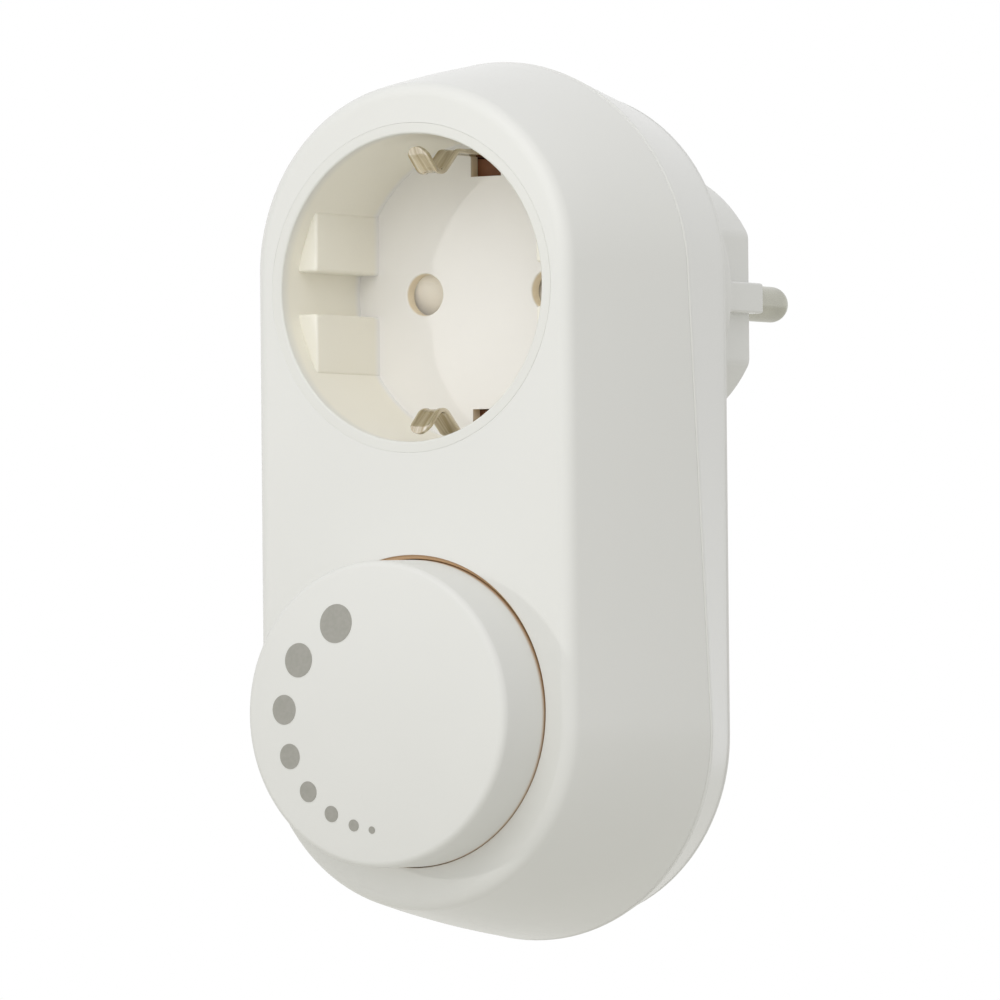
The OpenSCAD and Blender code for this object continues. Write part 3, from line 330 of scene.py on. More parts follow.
metal = {"Metallic": 1.0}
surfaces = {  # sizes in millimetres; relief is (strength, height)
    # injection-moulded ABS from a polished tool: glossy warm white, even, with painted brown shade in the gap round
    # the knob
    "housing_plastic": {
        "name": "mouldedAbs", "colours": ("#E8E8E4", "#EAEAE6"), "cloudSize": 30, "grainSize": 1.5, "roughness": 0.22,
        "shader": {"IOR": 1.53},
        "gap": {"axisZ": -54.0, "reach": (20.3, 20.4), "depth": (0.0, 0.2), "end": 5.0, "colour": "#C6A680"}},
    # polycarbonate: the lip like the housing; painted light makes the cup lighter and painted warm shade fills the pin
    # holes and slots
    "insert_plastic": {
        "name": "mouldedPolycarbonate", "colours": ("#FDFDFD", "#FFFFFF"), "cloudSize": 20, "grainSize": 1.2,
        "roughness": 0.31, "shader": {"IOR": 1.55},
        "paintedDepthLightShade": [(0, "#E7E7E2"), (0.25, "#E7E7E2"), (2, "#F7F4E8"), (17, "#F7F4E8"), (18.2, "#F6F5F3"),
                         (18.42, "#F6F5F3"), (18.7, "#F8EBD2")]},
    # moulded polyamide: plain cream, soft sheen
    "shutter_plastic": {
        "name": "mouldedPolyamide", "colours": ("#FAF4E8", "#FBF7EE"), "cloudSize": 8, "grainSize": 0.6,
        "roughness": 0.45, "shader": {"IOR": 1.53}},
    # brown phenolic moulding: dull brown; where it shows through the slots round the earth clips it stands in as
    # painted shade
    "carrier_plastic": {
        "name": "mouldedBakelite", "colours": ("#7A4A2A", "#845230"), "cloudSize": 10, "grainSize": 0.6,
        "roughness": 0.5, "shader": {"IOR": 1.55}},
    # ABS from a fine-eroded tool: satin, even, with the same painted brown shade at its foot
    "knob_plastic": {
        "name": "satinAbs", "colours": ("#E6E6E2", "#E8E8E4"), "cloudSize": 25, "grainSize": 0.35, "roughness": 0.46,
        "shader": {"IOR": 1.53},
        "gap": {"axisZ": -54.0, "reach": (30, 31), "depth": (-0.6, 0.15), "end": 5.0, "colour": "#C6A680"}},
    # pad-printed ink: matt grey, with the slight mottle of a thin print
    "dot_ink": {
        "name": "printedInk", "colours": ("#A1A098", "#A7A59E"), "cloudSize": 0.5, "grainSize": 0.2,
        "roughness": 0.55, "shader": {"IOR": 1.5}},
    # nickel plate on brass strip: warm bright silver, with drawing lines along the strip
    "nickel": {
        "name": "nickelPlate", "colours": ("#BBAD92", "#E6DFD0"), "streaked": True, "cloudSize": 6, "grainSize": 0.45,
        "stretch": (1, 0.04, 0.04), "roughness": (0.08, 0.14), "relief": (0.2, 0.02), "shader": metal},
    # the same plate on turned rod: duller and greyer
    "nickelRod": {
        "name": "nickelRod", "colours": ("#ADACA1", "#B7B6AA"), "cloudSize": 4, "grainSize": 0.25,
        "stretch": (1, 0.06, 1), "roughness": (0.22, 0.3), "shader": metal},
    # rolled brass strip: yellow, fine rolling lines
    "contact_brass": {
        "name": "rolledBrass", "colours": ("#C9A24B", "#D3AE58"), "cloudSize": 5, "grainSize": 0.3,
        "stretch": (1, 0.08, 1), "roughness": (0.22, 0.34), "relief": (0.1, 0.01), "shader": metal},
    # zinc plate on screws: cool grey, slightly cloudy
    "steel": {
        "name": "zincPlate", "colours": ("#AEB1B3", "#BCBEC0"), "cloudSize": 2, "grainSize": 0.3,
        "roughness": (0.26, 0.4), "relief": (0.1, 0.01), "shader": metal},
    # drawn spring wire: plain grey steel
    "spring_steel": {
        "name": "springWire", "colours": ("#9C9DA0", "#AAABAD"), "cloudSize": 2, "grainSize": 0.2,
        "roughness": (0.25, 0.35), "relief": (0.05, 0.01), "shader": metal},
    # filled phenolic moulding: dull tan
    "wiper_plastic": {
        "name": "mouldedPhenolic", "colours": ("#C9B48A", "#D1BD95"), "cloudSize": 5, "grainSize": 0.5,
        "roughness": (0.45, 0.55), "relief": (0.1, 0.02), "shader": {"IOR": 1.55}},
    # pressed tinned steel: grey, rolling lines
    "control_case": {
        "name": "pressedSteel", "colours": ("#A3A6A8", "#AFB1B3"), "cloudSize": 8, "grainSize": 0.4,
        "stretch": (1, 0.1, 1), "roughness": (0.3, 0.42), "relief": (0.1, 0.01), "shader": metal},
    # phenolic paper laminate: brown, slightly fibrous
    "phenolic": {
        "name": "phenolicPaper", "colours": ("#8A5A32", "#95653B"), "cloudSize": 3, "grainSize": 0.4,
        "roughness": (0.45, 0.6), "relief": (0.15, 0.02), "shader": {"IOR": 1.55}},
    # glass-fibre board under green lacquer: the weave of about 0.6 mm just shows
    "board": {
        "name": "glassFibreBoard", "colours": ("#1F6B3A", "#257642"), "cloudSize": 6, "grainSize": 0.6,
        "roughness": (0.3, 0.45), "relief": (0.2, 0.02), "shader": {"IOR": 1.55}},
    # transfer-moulded epoxy of chips: near black, fine matt grain
    "black_epoxy": {
        "name": "mouldedEpoxy", "colours": ("#1B1B1C", "#222223"), "cloudSize": 3, "grainSize": 0.25,
        "roughness": (0.45, 0.6), "relief": (0.2, 0.02), "shader": {"IOR": 1.55}},
    # rolled aluminium sheet: pale, rolling lines upright
    "aluminium": {
        "name": "rolledAluminium", "colours": ("#C9CACC", "#D2D3D4"), "cloudSize": 6, "grainSize": 0.3,
        "stretch": (1, 1, 0.08), "roughness": (0.28, 0.4), "relief": (0.1, 0.01), "shader": metal},
    # dipped epoxy coat: red, glossy, softly uneven
    "film_coat": {
        "name": "dippedEpoxy", "colours": ("#9A2A1C", "#A63324"), "cloudSize": 5, "grainSize": 1.2,
        "roughness": (0.15, 0.25), "relief": (0.2, 0.05), "shader": {"IOR": 1.55}},
    # shrunk PVC sleeve: dark blue, smooth
    "can_sleeve": {
        "name": "shrinkSleeve", "colours": ("#252C4C", "#2B3357"), "cloudSize": 4, "grainSize": 0.8,
        "roughness": (0.25, 0.35), "relief": (0.1, 0.02), "shader": {"IOR": 1.54}},
    # sintered ferrite: dark grey, dull and grainy
    "ferrite": {
        "name": "sinteredFerrite", "colours": ("#3A3A3B", "#444445"), "cloudSize": 2, "grainSize": 0.2,
        "roughness": (0.6, 0.75), "relief": (0.3, 0.03), "shader": {"IOR": 1.6}},
    # enamelled copper winding: turns of about 0.5 mm along the choke's axis
    "copper_wire": {
        "name": "enamelledCopper", "colours": ("#A5562B", "#B26233"), "cloudSize": 1, "grainSize": 0.5,
        "stretch": (0.1, 1, 0.1), "roughness": (0.2, 0.35), "relief": (0.5, 0.08), "shader": metal},
    # drawn glass tube: clear, faintly uneven
    "fuse_glass": {
        "name": "fuseGlass", "colours": ("#E6EDEE", "#EDF2F2"), "cloudSize": 8, "grainSize": 2,
        "roughness": (0.02, 0.06), "relief": (0.03, 0.02), "shader": {"IOR": 1.5, "Transmission Weight": 0.85}},
    # baked lacquer on resistors: beige, half gloss
    "resistor_coat": {
        "name": "lacqueredResistor", "colours": ("#CDB98F", "#D5C29A"), "cloudSize": 1.5, "grainSize": 0.5,
        "roughness": (0.25, 0.4), "relief": (0.15, 0.02), "shader": {"IOR": 1.5}},
}
for slotName, name, colours in (  # extruded PVC on the inner wires: soft sheen
        ("brown_wire", "brownPvc", ("#6A4424", "#72492A")),
        ("blue_wire", "bluePvc", ("#3165A5", "#386EB0")),
        ("black_wire", "blackPvc", ("#2A2A2B", "#313132"))):
    surfaces[slotName] = {"name": name, "colours": colours, "cloudSize": 6, "grainSize": 0.5,
                          "roughness": (0.4, 0.5), "relief": (0.1, 0.02), "shader": {"IOR": 1.53}}
finishes = {slotName: makeSurface(look) for slotName, look in surfaces.items()}
for entry in frame["record"]["subparts"]:
    node = frame["nodes"][entry["node"]]
    node.data.materials.clear()
    node.data.materials.append(finishes[entry["material_slot"]])
print("materials", len(finishes))

# Housing form
form = {"faceHalf": 21.75, "topZ": 2.5, "lowZ": -55.4, "rearLowZ": -57.2, "edge": 2.0, "spread": 5.8, "bulge": 0.2,
        "partDepth": 22.75, "partTilt": 3.8, "partStep": -0.05, "wall": 2.0, "rearDepth": 37.8, "rearHalf": 24.45,
        "rearEdge": 0.5, "arcSteps": 64, "sideSteps": 20, "settleSteps": 8}
lean = math.atan((form["spread"] - form["edge"] + 4 * form["bulge"]) / (form["partDepth"] - form["edge"]))
flankStart = form["faceHalf"] + form["edge"] * math.cos(lean)
flankDepth = form["edge"] * (1 - math.sin(lean))
partHalf = form["faceHalf"] + form["spread"]


def flankHalf(depth):  # half-width of the front cover's flank
    u = (depth - flankDepth) / (form["partDepth"] - flankDepth)
    return flankStart + (partHalf - flankStart) * u + 4 * form["bulge"] * u * (1 - u)


def partAt(z):  # depth of the parting plane
    return form["partDepth"] - z * math.tan(math.radians(form["partTilt"]))


arcSteps, sideSteps = form["arcSteps"], form["sideSteps"]
columns = [(math.pi * i / arcSteps, 0.0) for i in range(arcSteps + 1)]
columns += [(math.pi, i / sideSteps) for i in range(1, sideSteps)]
columns += [(math.pi * (1 + i / arcSteps), 1.0) for i in range(arcSteps + 1)]
columns += [(0.0, 1 - i / sideSteps) for i in range(1, sideSteps)]


def longRing(halfAt, depthAt, lowZ):  # outline with round ends; half-width from the depth, depth from the height
    ring = []
    for angle, share in columns:
        middle = form["topZ"] + (lowZ - form["topZ"]) * share
        half, depth = partHalf, 0.0
        for _ in range(form["settleSteps"]):
            depth = depthAt(middle + half * math.sin(angle))
            half = halfAt(depth)
        ring.append((half * math.cos(angle), depth, middle + half * math.sin(angle)))
    return ring


# Front cover
front = {"holeRadius": 20.935, "holeBreak": 0.1, "holeShift": (0.05, -0.07), "holeSides": 160, "wellRadius": 19.8,
         "wellZ": -54.0, "wellDepth": 4.0, "wellWall": 1.4, "wellFloor": 2.0, "wellStep": 0.35, "wellTight": 19.55,
         "wellShift": (-0.18, 0.25), "wellRounds": [0, 0.1, 0.1, 0.1, 0.3, 0.2, 0, 0.5, 0], "bushRadius": 4.1,
         "partEdge": 0.12, "bossRadius": 3.2, "bossBore": 1.5, "bossSolid": 10.0, "bossSink": 0.5, "postRadius": 2.6,
         "postBore": 1.15, "postStart": 5.0, "postSolid": 9.0, "boardDepth": 18.0,
         "edgeSteps": 8, "flankSteps": 16, "innerSteps": 6}
screwPlaces = [(19.15, -27.0), (-19.15, -27.0), (10.71, -71.28), (-10.71, -71.28)]
boardPlaces = [(16.0, -41.8), (-16.0, -41.8), (16.0, -63.15), (-16.0, -63.15)]
bm = bmesh.new()
rings = []
for i in range(front["edgeSteps"] + 1):
    a = -math.pi / 2 + (math.pi / 2 - lean) * i / front["edgeSteps"]
    half, depth = form["faceHalf"] + form["edge"] * math.cos(a), form["edge"] * (1 + math.sin(a))
    rings.append(longRing(lambda d, h=half: h, lambda z, d=depth: d, form["lowZ"]))
for i in range(1, front["flankSteps"] + 1):
    share = i / front["flankSteps"]
    rings.append(longRing(flankHalf, lambda z, s=share: flankDepth + (partAt(z) - front["partEdge"] - flankDepth) * s,
                          form["lowZ"]))
for back, drawn in edgeRound(front["partEdge"], 3)[::-1][1:]:
    rings.append(longRing(lambda d, n=drawn: flankHalf(d) - n, lambda z, b=back: partAt(z) - b, form["lowZ"]))
for i in range(front["innerSteps"] + 1):
    share = 1 - i / front["innerSteps"]
    rings.append(longRing(lambda d: flankHalf(d) - form["wall"],
                          lambda z, s=share: form["wall"] + (partAt(z) - form["wall"]) * s, form["lowZ"]))
shell = [addRing(bm, ring) for ring in rings]
joinRings(bm, shell)
rim, sides = front["holeRadius"], front["holeSides"]
holeRings = [roundRing(rim + front["holeBreak"], 0, *front["holeShift"], sides)]  # widest at the lower right
holeRings += [roundRing(rim, d, count=sides) for d in (front["holeBreak"] / 2, form["wall"])]
hole = [addRing(bm, ring) for ring in holeRings]
joinRings(bm, hole)
wide, tight, bush = front["wellRadius"], front["wellTight"], front["bushRadius"]
step, deep = front["wellStep"], front["wellDepth"]
wellFoot, wellOuter = deep + front["wellFloor"], wide + front["wellWall"]
wellProfile = soften([
    (wide + 1, 0), (wide, 0), (wide, step), (tight, step), (tight, deep), (bush, deep), (bush, wellFoot),
    (wellOuter, wellFoot), (wellOuter, form["wall"])], front["wellRounds"])[1:]
well = []
for r, d in wellProfile:  # the opening lies a little up and left of the knob, so the gap is widest at the top
    off = min(1, max(0, (r - tight) / (wide - tight))) if d < 1 else 0
    shiftX, shiftZ = (s * off for s in front["wellShift"])
    well.append(addRing(bm, roundRing(r, d, shiftX, front["wellZ"] + shiftZ)))
joinRings(bm, well)
fillFlat(bm, shell[0], hole[0], well[0])
fillFlat(bm, shell[-1], hole[-1], well[-1])
for x, z in screwPlaces:
    end = partAt(z + front["bossRadius"])
    clear = math.hypot(x, z - front["wellZ"]) > wellOuter + front["bossRadius"]
    start = form["wall"] / 2 if clear else deep + front["bossSink"]  # a boss beside the well stands on its floor
    turnedSolid(bm, [(front["bossRadius"], start), (front["bossRadius"], end), (front["bossBore"], end),
                     (front["bossBore"], front["bossSolid"])], x, z)
for x, z in boardPlaces:
    turnedSolid(bm, [(front["postRadius"], front["postStart"]), (front["postRadius"], front["boardDepth"]),
                     (front["postBore"], front["boardDepth"]), (front["postBore"], front["postSolid"])], x, z)
finishPiece("frontCover", bm, "housing", "housing_plastic", "front_cover")

# Rear cover with collar and plug nose
rear = {"partEdge": 0.35, "partGap": 0.03, "bead": 0.04, "beadWidth": 0.3, "collarRadius": 23.6, "collarHeight": 2.8,
        "collarFoot": 0.25, "collarEdge": 0.25, "headRadius": 3.0, "headDepth": 33.8, "headRim": 0.15,
        "shankRadius": 1.65, "postRadius": 4.2, "supportRadius": 1.6, "supportAt": 20.19, "supportStart": 24.6,
        "supportSink": 0.5, "flankSteps": 6, "innerSteps": 4}
nose = {"radius": 18.1, "flat": 16.0, "wall": 2.2, "cornerRound": 2.5, "boreRound": 2.0, "end": 58.3, "endWall": 3.0,
        "endRound": 0.4, "foot": [(0.4, 0.0), (0.12, 0.12), (0.0, 0.4)], "pinX": 9.5, "pinHole": 2.45, "pinRim": 0.15,
        "windowHalf": 2.8, "windowStart": 43.8, "windowEnd": 56.9, "windowSteps": 3, "ridgeHalf": 2.0,
        "ridgeIn": 15.0, "ridgeOut": 18.1, "ridgeRound": 0.35, "ridgeSink": 0.2}


def arc(radius, start, end, steps):  # points along an arc round the axis, without its last one
    angles = [start + (end - start) * i / steps for i in range(steps)]
    return [radius * Vector((math.cos(a), math.sin(a))) for a in angles]


def noseOutline(radius, flat, corner):  # a circle with two side flats, and columns at the window's sides
    reach = math.sqrt((radius - corner) ** 2 - (flat - corner) ** 2)
    meet = math.atan2(reach, flat - corner)
    side = math.acos(nose["windowHalf"] / radius)
    quarter = [Vector((flat, reach * i / 4)) for i in range(4)]
    for a in (meet * i / 6 for i in range(6)):
        quarter.append(Vector((flat - corner + corner * math.cos(a), reach + corner * math.sin(a))))
    quarter += arc(radius, meet, side, 12) + arc(radius, side, math.pi / 2, nose["windowSteps"])
    upper = quarter + [Vector((0, radius))] + [Vector((-p.x, p.y)) for p in quarter[:0:-1]]
    return upper + [Vector((-p.x, -p.y)) for p in upper]


bm = bmesh.new()
partRings = []
for drawn, behind in edgeRound(rear["partEdge"])[::-1]:  # from the parting face outwards
    partRings.append(longRing(lambda d, n=drawn: flankHalf(d) - form["partStep"] - n,
                              lambda z, b=behind: partAt(z) + rear["partGap"] + b, form["lowZ"]))
beadStart = form["rearDepth"] - form["rearEdge"] - rear["beadWidth"]
foot = longRing(lambda d: form["rearHalf"], lambda z: beadStart, form["rearLowZ"])
steps = rear["flankSteps"]
rings = partRings + [between(partRings[-1], foot, i / steps) for i in range(1, steps + 1)]
for drawn, back in edgeRound(form["rearEdge"]):  # a low bead runs round the rear edge
    rings.append(longRing(lambda d, n=drawn: form["rearHalf"] + rear["bead"] - n,
                          lambda z, b=back: form["rearDepth"] - b, form["rearLowZ"]))
innerBack = form["rearDepth"] - form["wall"]
innerPart = longRing(lambda d: flankHalf(d) - form["partStep"] - form["wall"], partAt, form["lowZ"])
innerFoot = longRing(lambda d: form["rearHalf"] - form["wall"], lambda z: innerBack, form["rearLowZ"])
steps = rear["innerSteps"]
inner = [innerFoot] + [between(innerFoot, innerPart, i / steps) for i in range(1, steps + 1)]
shell = [addRing(bm, ring) for ring in inner + rings]
joinRings(bm, shell)
wide, collarTop = rear["collarRadius"], form["rearDepth"] + rear["collarHeight"]
collarProfile = soften([(wide + 0.6, form["rearDepth"]), (wide, form["rearDepth"]), (wide, collarTop),
                        (wide - 3, collarTop)], [0, rear["collarFoot"], rear["collarEdge"], 0])
collar = turned(bm, collarProfile[1:-1])  # the two end points only lead the roundings
heads = []
for x, z in screwPlaces:
    heads.append(drilled(bm, rear["headRadius"], form["rearDepth"], innerBack, rear["headRim"], x, z))
    start = partAt(z - rear["postRadius"])
    turnedSolid(bm, [(rear["shankRadius"], start), (rear["postRadius"], start), (rear["postRadius"], innerBack),
                     (rear["headRadius"], innerBack), (rear["headRadius"], rear["headDepth"]),
                     (rear["shankRadius"], rear["headDepth"])], x, z)
fillFlat(bm, shell[-1], collar[0], *[h[0] for h in heads])
outline = noseOutline(nose["radius"], nose["flat"], nose["cornerRound"])
bore = noseOutline(nose["radius"] - nose["wall"], nose["flat"] - nose["wall"], nose["boreRound"])
boreEnd = nose["end"] - nose["endWall"]
noseRings = [flatRing(inset(outline, -d), collarTop + b) for d, b in nose["foot"]]
windowRow = len(noseRings)
noseRings += [flatRing(outline, d) for d in (nose["windowStart"], nose["windowEnd"])]
noseRings += roundedEnd(outline, nose["end"], nose["endRound"], -1, 7)
outside = [addRing(bm, ring) for ring in noseRings]
inside = [addRing(bm, flatRing(bore, d)) for d in (innerBack, nose["windowStart"], boreEnd)]
middleTop = len(outline) // 4
windowTop = list(range(middleTop - nose["windowSteps"], middleTop + nose["windowSteps"]))
windowLow = [i + len(outline) // 2 for i in windowTop]
joinRings(bm, outside, leaveOut={(windowRow, i) for i in windowTop + windowLow})
joinRings(bm, inside, leaveOut={(1, i) for i in windowTop + windowLow})
for window in (windowTop, windowLow):
    path = window + [window[-1] + 1]
    border = [(outside[windowRow][i], inside[1][i]) for i in path]
    border += [(outside[windowRow + 1][i], inside[2][i]) for i in path[::-1]]
    for (a, c), (b, d) in zip(border, border[1:] + border[:1]):
        bm.faces.new((a, b, d, c))
fillFlat(bm, collar[-1], outside[0])
fillFlat(bm, shell[0], inside[0], *[h[-1] for h in heads])
pinHoles = [drilled(bm, nose["pinHole"], nose["end"], boreEnd, nose["pinRim"], x)
            for x in (-nose["pinX"], nose["pinX"])]
fillFlat(bm, outside[-1], *[h[0] for h in pinHoles])
fillFlat(bm, inside[-1], *[h[-1] for h in pinHoles])
for side in (1, -1):  # a ridge along each side flat
    low, high, half = (side * nose[k] for k in ("ridgeIn", "ridgeOut", "ridgeHalf"))
    profile = soften([(low, -half), (high, -half), (high, half), (low, half)],
                     [0, nose["ridgeRound"], nose["ridgeRound"], 0], 4, closed=True)
    loft(bm, [flatRing(profile, collarTop - nose["ridgeSink"])]
         + roundedEnd(profile, nose["end"], nose["ridgeRound"], -1))
supportEnd = innerBack + rear["supportSink"]
for x, z in ((-1, 0), (1, 0), (0, 1), (0, -1)):  # supports behind the insert
    turnedSolid(bm, [(rear["supportRadius"], rear["supportStart"]), (rear["supportRadius"], supportEnd)],
                x * rear["supportAt"], z * rear["supportAt"], 24)
finishPiece("rearCover", bm, "housing", "housing_plastic", "rear_cover")

# Socket insert
cup = {"recess": 19.55, "lip": 20.93, "lipBreak": 0.3, "flange": 21.5, "flangeStart": 2.0, "flangeEnd": 3.8,
       "back": 24.6, "sides": 160, "floor": 18.4, "floorBack": 20.1, "floorReach": 20.1, "floorSteps": 40,
       "holeX": 9.5, "hole": 2.7, "holeBreak": 0.25, "slotHalf": 2.3, "slotStart": 15.0, "guideFace": 16.5,
       "guideStart": 3.7, "guideLow": 2.7, "guideHigh": 10.5, "guideRound": 0.5, "guideEdge": 0.4, "sink": 0.5,
       "pivot": 2.0, "pivotEnd": 22.6, "post": 1.9, "postBore": 1.15, "postAt": 11.2, "postSolid": 19.4}
bm = bmesh.new()
lip, flange = cup["lip"], cup["flange"]
turned(bm, soften([
    (cup["recess"], cup["back"]), (cup["recess"], 0.0), (lip, 0.0), (lip, cup["flangeStart"]),
    (flange, cup["flangeStart"]), (flange, cup["flangeEnd"]), (lip, cup["flangeEnd"]), (lip, cup["back"])],
    [0, cup["lipBreak"], 0, 0, 0, 0, 0, 0], 6), count=cup["sides"], loop=True)
reach, steps = cup["floorReach"], cup["floorSteps"]  # the floor plate and the guide blocks run into the wall
edgeAngle = math.acos(cup["slotHalf"] / reach)
plate = []
for turn, flip in ((0, 1), (math.pi, -1)):
    span = [turn - edgeAngle + 2 * edgeAngle * i / steps for i in range(steps + 1)]
    plate += [Vector((reach * math.cos(a), reach * math.sin(a))) for a in span]
    plate += [Vector((flip * s * cup["slotHalf"], flip * cup["slotStart"])) for s in (1, -1)]
plateRings = [addRing(bm, flatRing(plate, d)) for d in (cup["floor"], cup["floorBack"])]
joinRings(bm, plateRings)
holes = [drilled(bm, cup["hole"], cup["floor"], cup["floorBack"], cup["holeBreak"], x, count=64)
         for x in (-cup["holeX"], cup["holeX"])]
fillFlat(bm, plateRings[0], *[h[0] for h in holes])
fillFlat(bm, plateRings[1], *[h[-1] for h in holes])
sunk = cup["floor"] + cup["sink"]
for sx in (-1, 1):
    for sz in (-1, 1):
        low, high = sorted((sz * cup["guideLow"], sz * cup["guideHigh"]))
        lowX, highX = (math.sqrt(reach ** 2 - v ** 2) for v in (low, high))
        corners = [(cup["guideFace"], high), (cup["guideFace"], low), (lowX, low), (highX, high)]
        corners = [(sx * x, z) for x, z in corners[::sx]]
        rounds = [cup["guideRound"] if abs(x) == cup["guideFace"] else 0 for x, z in corners]
        profile = soften(corners, rounds, 5, closed=True)
        loft(bm, [flatRing(profile, sunk)] + roundedEnd(profile, cup["guideStart"], cup["guideEdge"], 1))
turnedSolid(bm, [(cup["pivot"], sunk), (cup["pivot"], cup["pivotEnd"])])
for side in (-1, 1):  # posts for the carrier's screws
    turnedSolid(bm, [(cup["post"], sunk), (cup["post"], cup["pivotEnd"]), (cup["postBore"], cup["pivotEnd"]),
                     (cup["postBore"], cup["postSolid"])], side * cup["postAt"], side * cup["postAt"], 32)
finishPiece("socketInsert", bm, "housing", "insert_plastic", "socket_insert")

# Contact carrier: the frame's solid with brown pads that close the floor's slots round the earth clips, a painted
# shade behind the slots
slotShadePads = {"half": 5.0, "start": 20.2, "end": 22.8, "rows": [(15.1, 17.35), (18.4, 19.1)]}
bm = fromNode("contact_carrier")
for low, high in slotShadePads["rows"]:
    for side in (-1, 1):
        corners = [(-slotShadePads["half"], side * low), (slotShadePads["half"], side * low), (slotShadePads["half"], side * high),
                   (-slotShadePads["half"], side * high)]
        loft(bm, [flatRing(corners, d) for d in (slotShadePads["start"], slotShadePads["end"])])
finishPiece("contactCarrier", bm, "housing", "carrier_plastic", "contact_carrier")

# Shutter: the frame's solid with its face close behind the floor
shutterFace = {"within": 20.45, "depth": 20.16}
bm = fromNode("shutter")
for vert in bm.verts:
    if vert.co.y < levelY(shutterFace["within"]):
        vert.co.y = levelY(shutterFace["depth"])
finishPiece("safetyShutter", bm, "shutter", "shutter_plastic", "shutter")

# Shutter spring: a coil on its seat, pressed together by the shutter's right arm
coil = {"x": 11.5, "depth": 21.35, "radius": 0.85, "wire": 0.15, "turns": 7, "steps": 24, "sides": 8, "low": -13.4,
        "high": -3.41, "keep": 0.48}
bm = bmesh.new()
section = [2 * math.pi * k / coil["sides"] for k in range(coil["sides"])]
steps = coil["turns"] * coil["steps"]
outlines = []
for i in range(steps + 1):
    a = 2 * math.pi * i / coil["steps"]
    out = Vector((math.cos(a), math.sin(a), 0))
    height = coil["low"] + (coil["high"] - coil["low"]) * (i / steps)
    middle = Vector((coil["x"], coil["depth"], height)) + out * coil["radius"]
    outlines.append([middle + coil["wire"] * (out * math.cos(b) + Vector((0, 0, math.sin(b)))) for b in section])
loft(bm, outlines)
spring = finishPiece("shutterSpring", bm, "housing", "spring_steel", "shutter_spring", sharpAngle=60)
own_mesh(spring)

# Knob
dial = {"z": -54.0, "radius": 19.45, "rise": 9.1, "domeReach": 18.45, "dome": 105.0, "foot": 3.4, "edge": 1.0,
        "taper": 0.12, "wall": 2.0, "hub": 5.5, "hubEnd": 1.6, "bore": 3.03, "boreStart": -5.4, "sides": 160,
        "faceRings": (0.4, 2, 4, 6, 8, 10, 12, 14, 16, 17.5), "rounds": [0, 0.3, 0.2, 0.8, 0.5, 0.2, 0, 0]}


def domeDepth(r):  # the knob's slightly domed face
    return -dial["rise"] - (dial["domeReach"] ** 2 - r * r) / (2 * dial["dome"])


bm = bmesh.new()
facePoints = [(r, domeDepth(r)) for r in dial["faceRings"] + (dial["radius"] - dial["taper"],)]
wide, narrow, inner = dial["radius"], dial["radius"] - dial["wall"], dial["wall"] - dial["rise"]
knobProfile = facePoints + [
    (wide, 0.0), (wide, dial["foot"]), (narrow, dial["foot"]), (narrow, inner), (dial["hub"], inner),
    (dial["hub"], dial["hubEnd"]), (dial["bore"], dial["hubEnd"]), (dial["bore"], dial["boreStart"])]
rounds = [0] * (len(facePoints) - 1) + [dial["edge"]] + dial["rounds"]
closeEnds(bm, turned(bm, soften(knobProfile, rounds, 7), z=dial["z"], count=dial["sides"]))
finishPiece("dimmerKnob", bm, "knob", "knob_plastic", "knob")

# Level dots: discs on the knob's face, each larger and further round than the last
dots = {"Count": 8, "Smallest": 0.46 * mm, "Growth": 0.285 * mm, "Circle": 15 * mm,
        "First angle": math.radians(269.4), "First step": math.radians(10.9), "Step growth": math.radians(3.76),
        "Film": 0.06 * mm, "Dome": dial["dome"] * mm}
sunkFilm, discSides = 0.03, 56  # half of the film's thickness lies in the knob
tree, given = openTree("levelDots", {
    **{key: "Int" if key == "Count" else "Float" for key in dots}, "Centre": "Vector", "Ink": "Material"})
index = addNode(tree, "GeometryNodeInputIndex").outputs[0]
radius = mathNode(tree, "MULTIPLY_ADD", index, given["Growth"], given["Smallest"])
pairCount = mathNode(tree, "MULTIPLY", index, mathNode(tree, "ADD", index, -1.0))
halfPairs = mathNode(tree, "MULTIPLY", pairCount, -0.5)
extra = mathNode(tree, "MULTIPLY_ADD", halfPairs, given["Step growth"], given["First angle"])
angle = mathNode(tree, "SUBTRACT", extra, mathNode(tree, "MULTIPLY", index, given["First step"]))
reach = mathNode(tree, "SUBTRACT", given["Circle"], radius)
across = mathNode(tree, "MULTIPLY", mathNode(tree, "COSINE", angle), reach)
upward = mathNode(tree, "MULTIPLY", mathNode(tree, "SINE", angle), reach)
place = addNode(tree, "ShaderNodeCombineXYZ", {"X": across, "Z": upward}).outputs[0]
centred = vectorNode(tree, "ADD", place, given["Centre"])[0]
points = addNode(tree, "GeometryNodePoints", {"Count": given["Count"], "Position": centred}).outputs[0]
disc = addNode(tree, "GeometryNodeMeshCylinder", {"Vertices": discSides, "Radius": 1.0, "Depth": given["Film"]},
               fill_type="TRIANGLE_FAN").outputs["Mesh"]
size = addNode(tree, "ShaderNodeCombineXYZ", {"X": radius, "Y": radius, "Z": 1.0}).outputs[0]
placed = addNode(tree, "GeometryNodeInstanceOnPoints", {
    "Points": points, "Instance": disc, "Rotation": (math.pi / 2, 0, 0), "Scale": size}).outputs[0]
real = addNode(tree, "GeometryNodeRealizeInstances", {"Geometry": placed}).outputs[0]
position = addNode(tree, "GeometryNodeInputPosition").outputs[0]
away = vectorNode(tree, "MULTIPLY", vectorNode(tree, "SUBTRACT", position, given["Centre"])[0], (1, 0, 1))[0]
square = vectorNode(tree, "DOT_PRODUCT", away, away)["Value"]
sag = mathNode(tree, "MULTIPLY", mathNode(tree, "DIVIDE", square, given["Dome"]), 0.5)  # the dots follow the dome
shift = addNode(tree, "ShaderNodeCombineXYZ", {"Y": sag}).outputs[0]
curved = addNode(tree, "GeometryNodeSetPosition", {"Geometry": real, "Offset": shift}).outputs[0]
closeTree(tree, curved, given["Ink"])
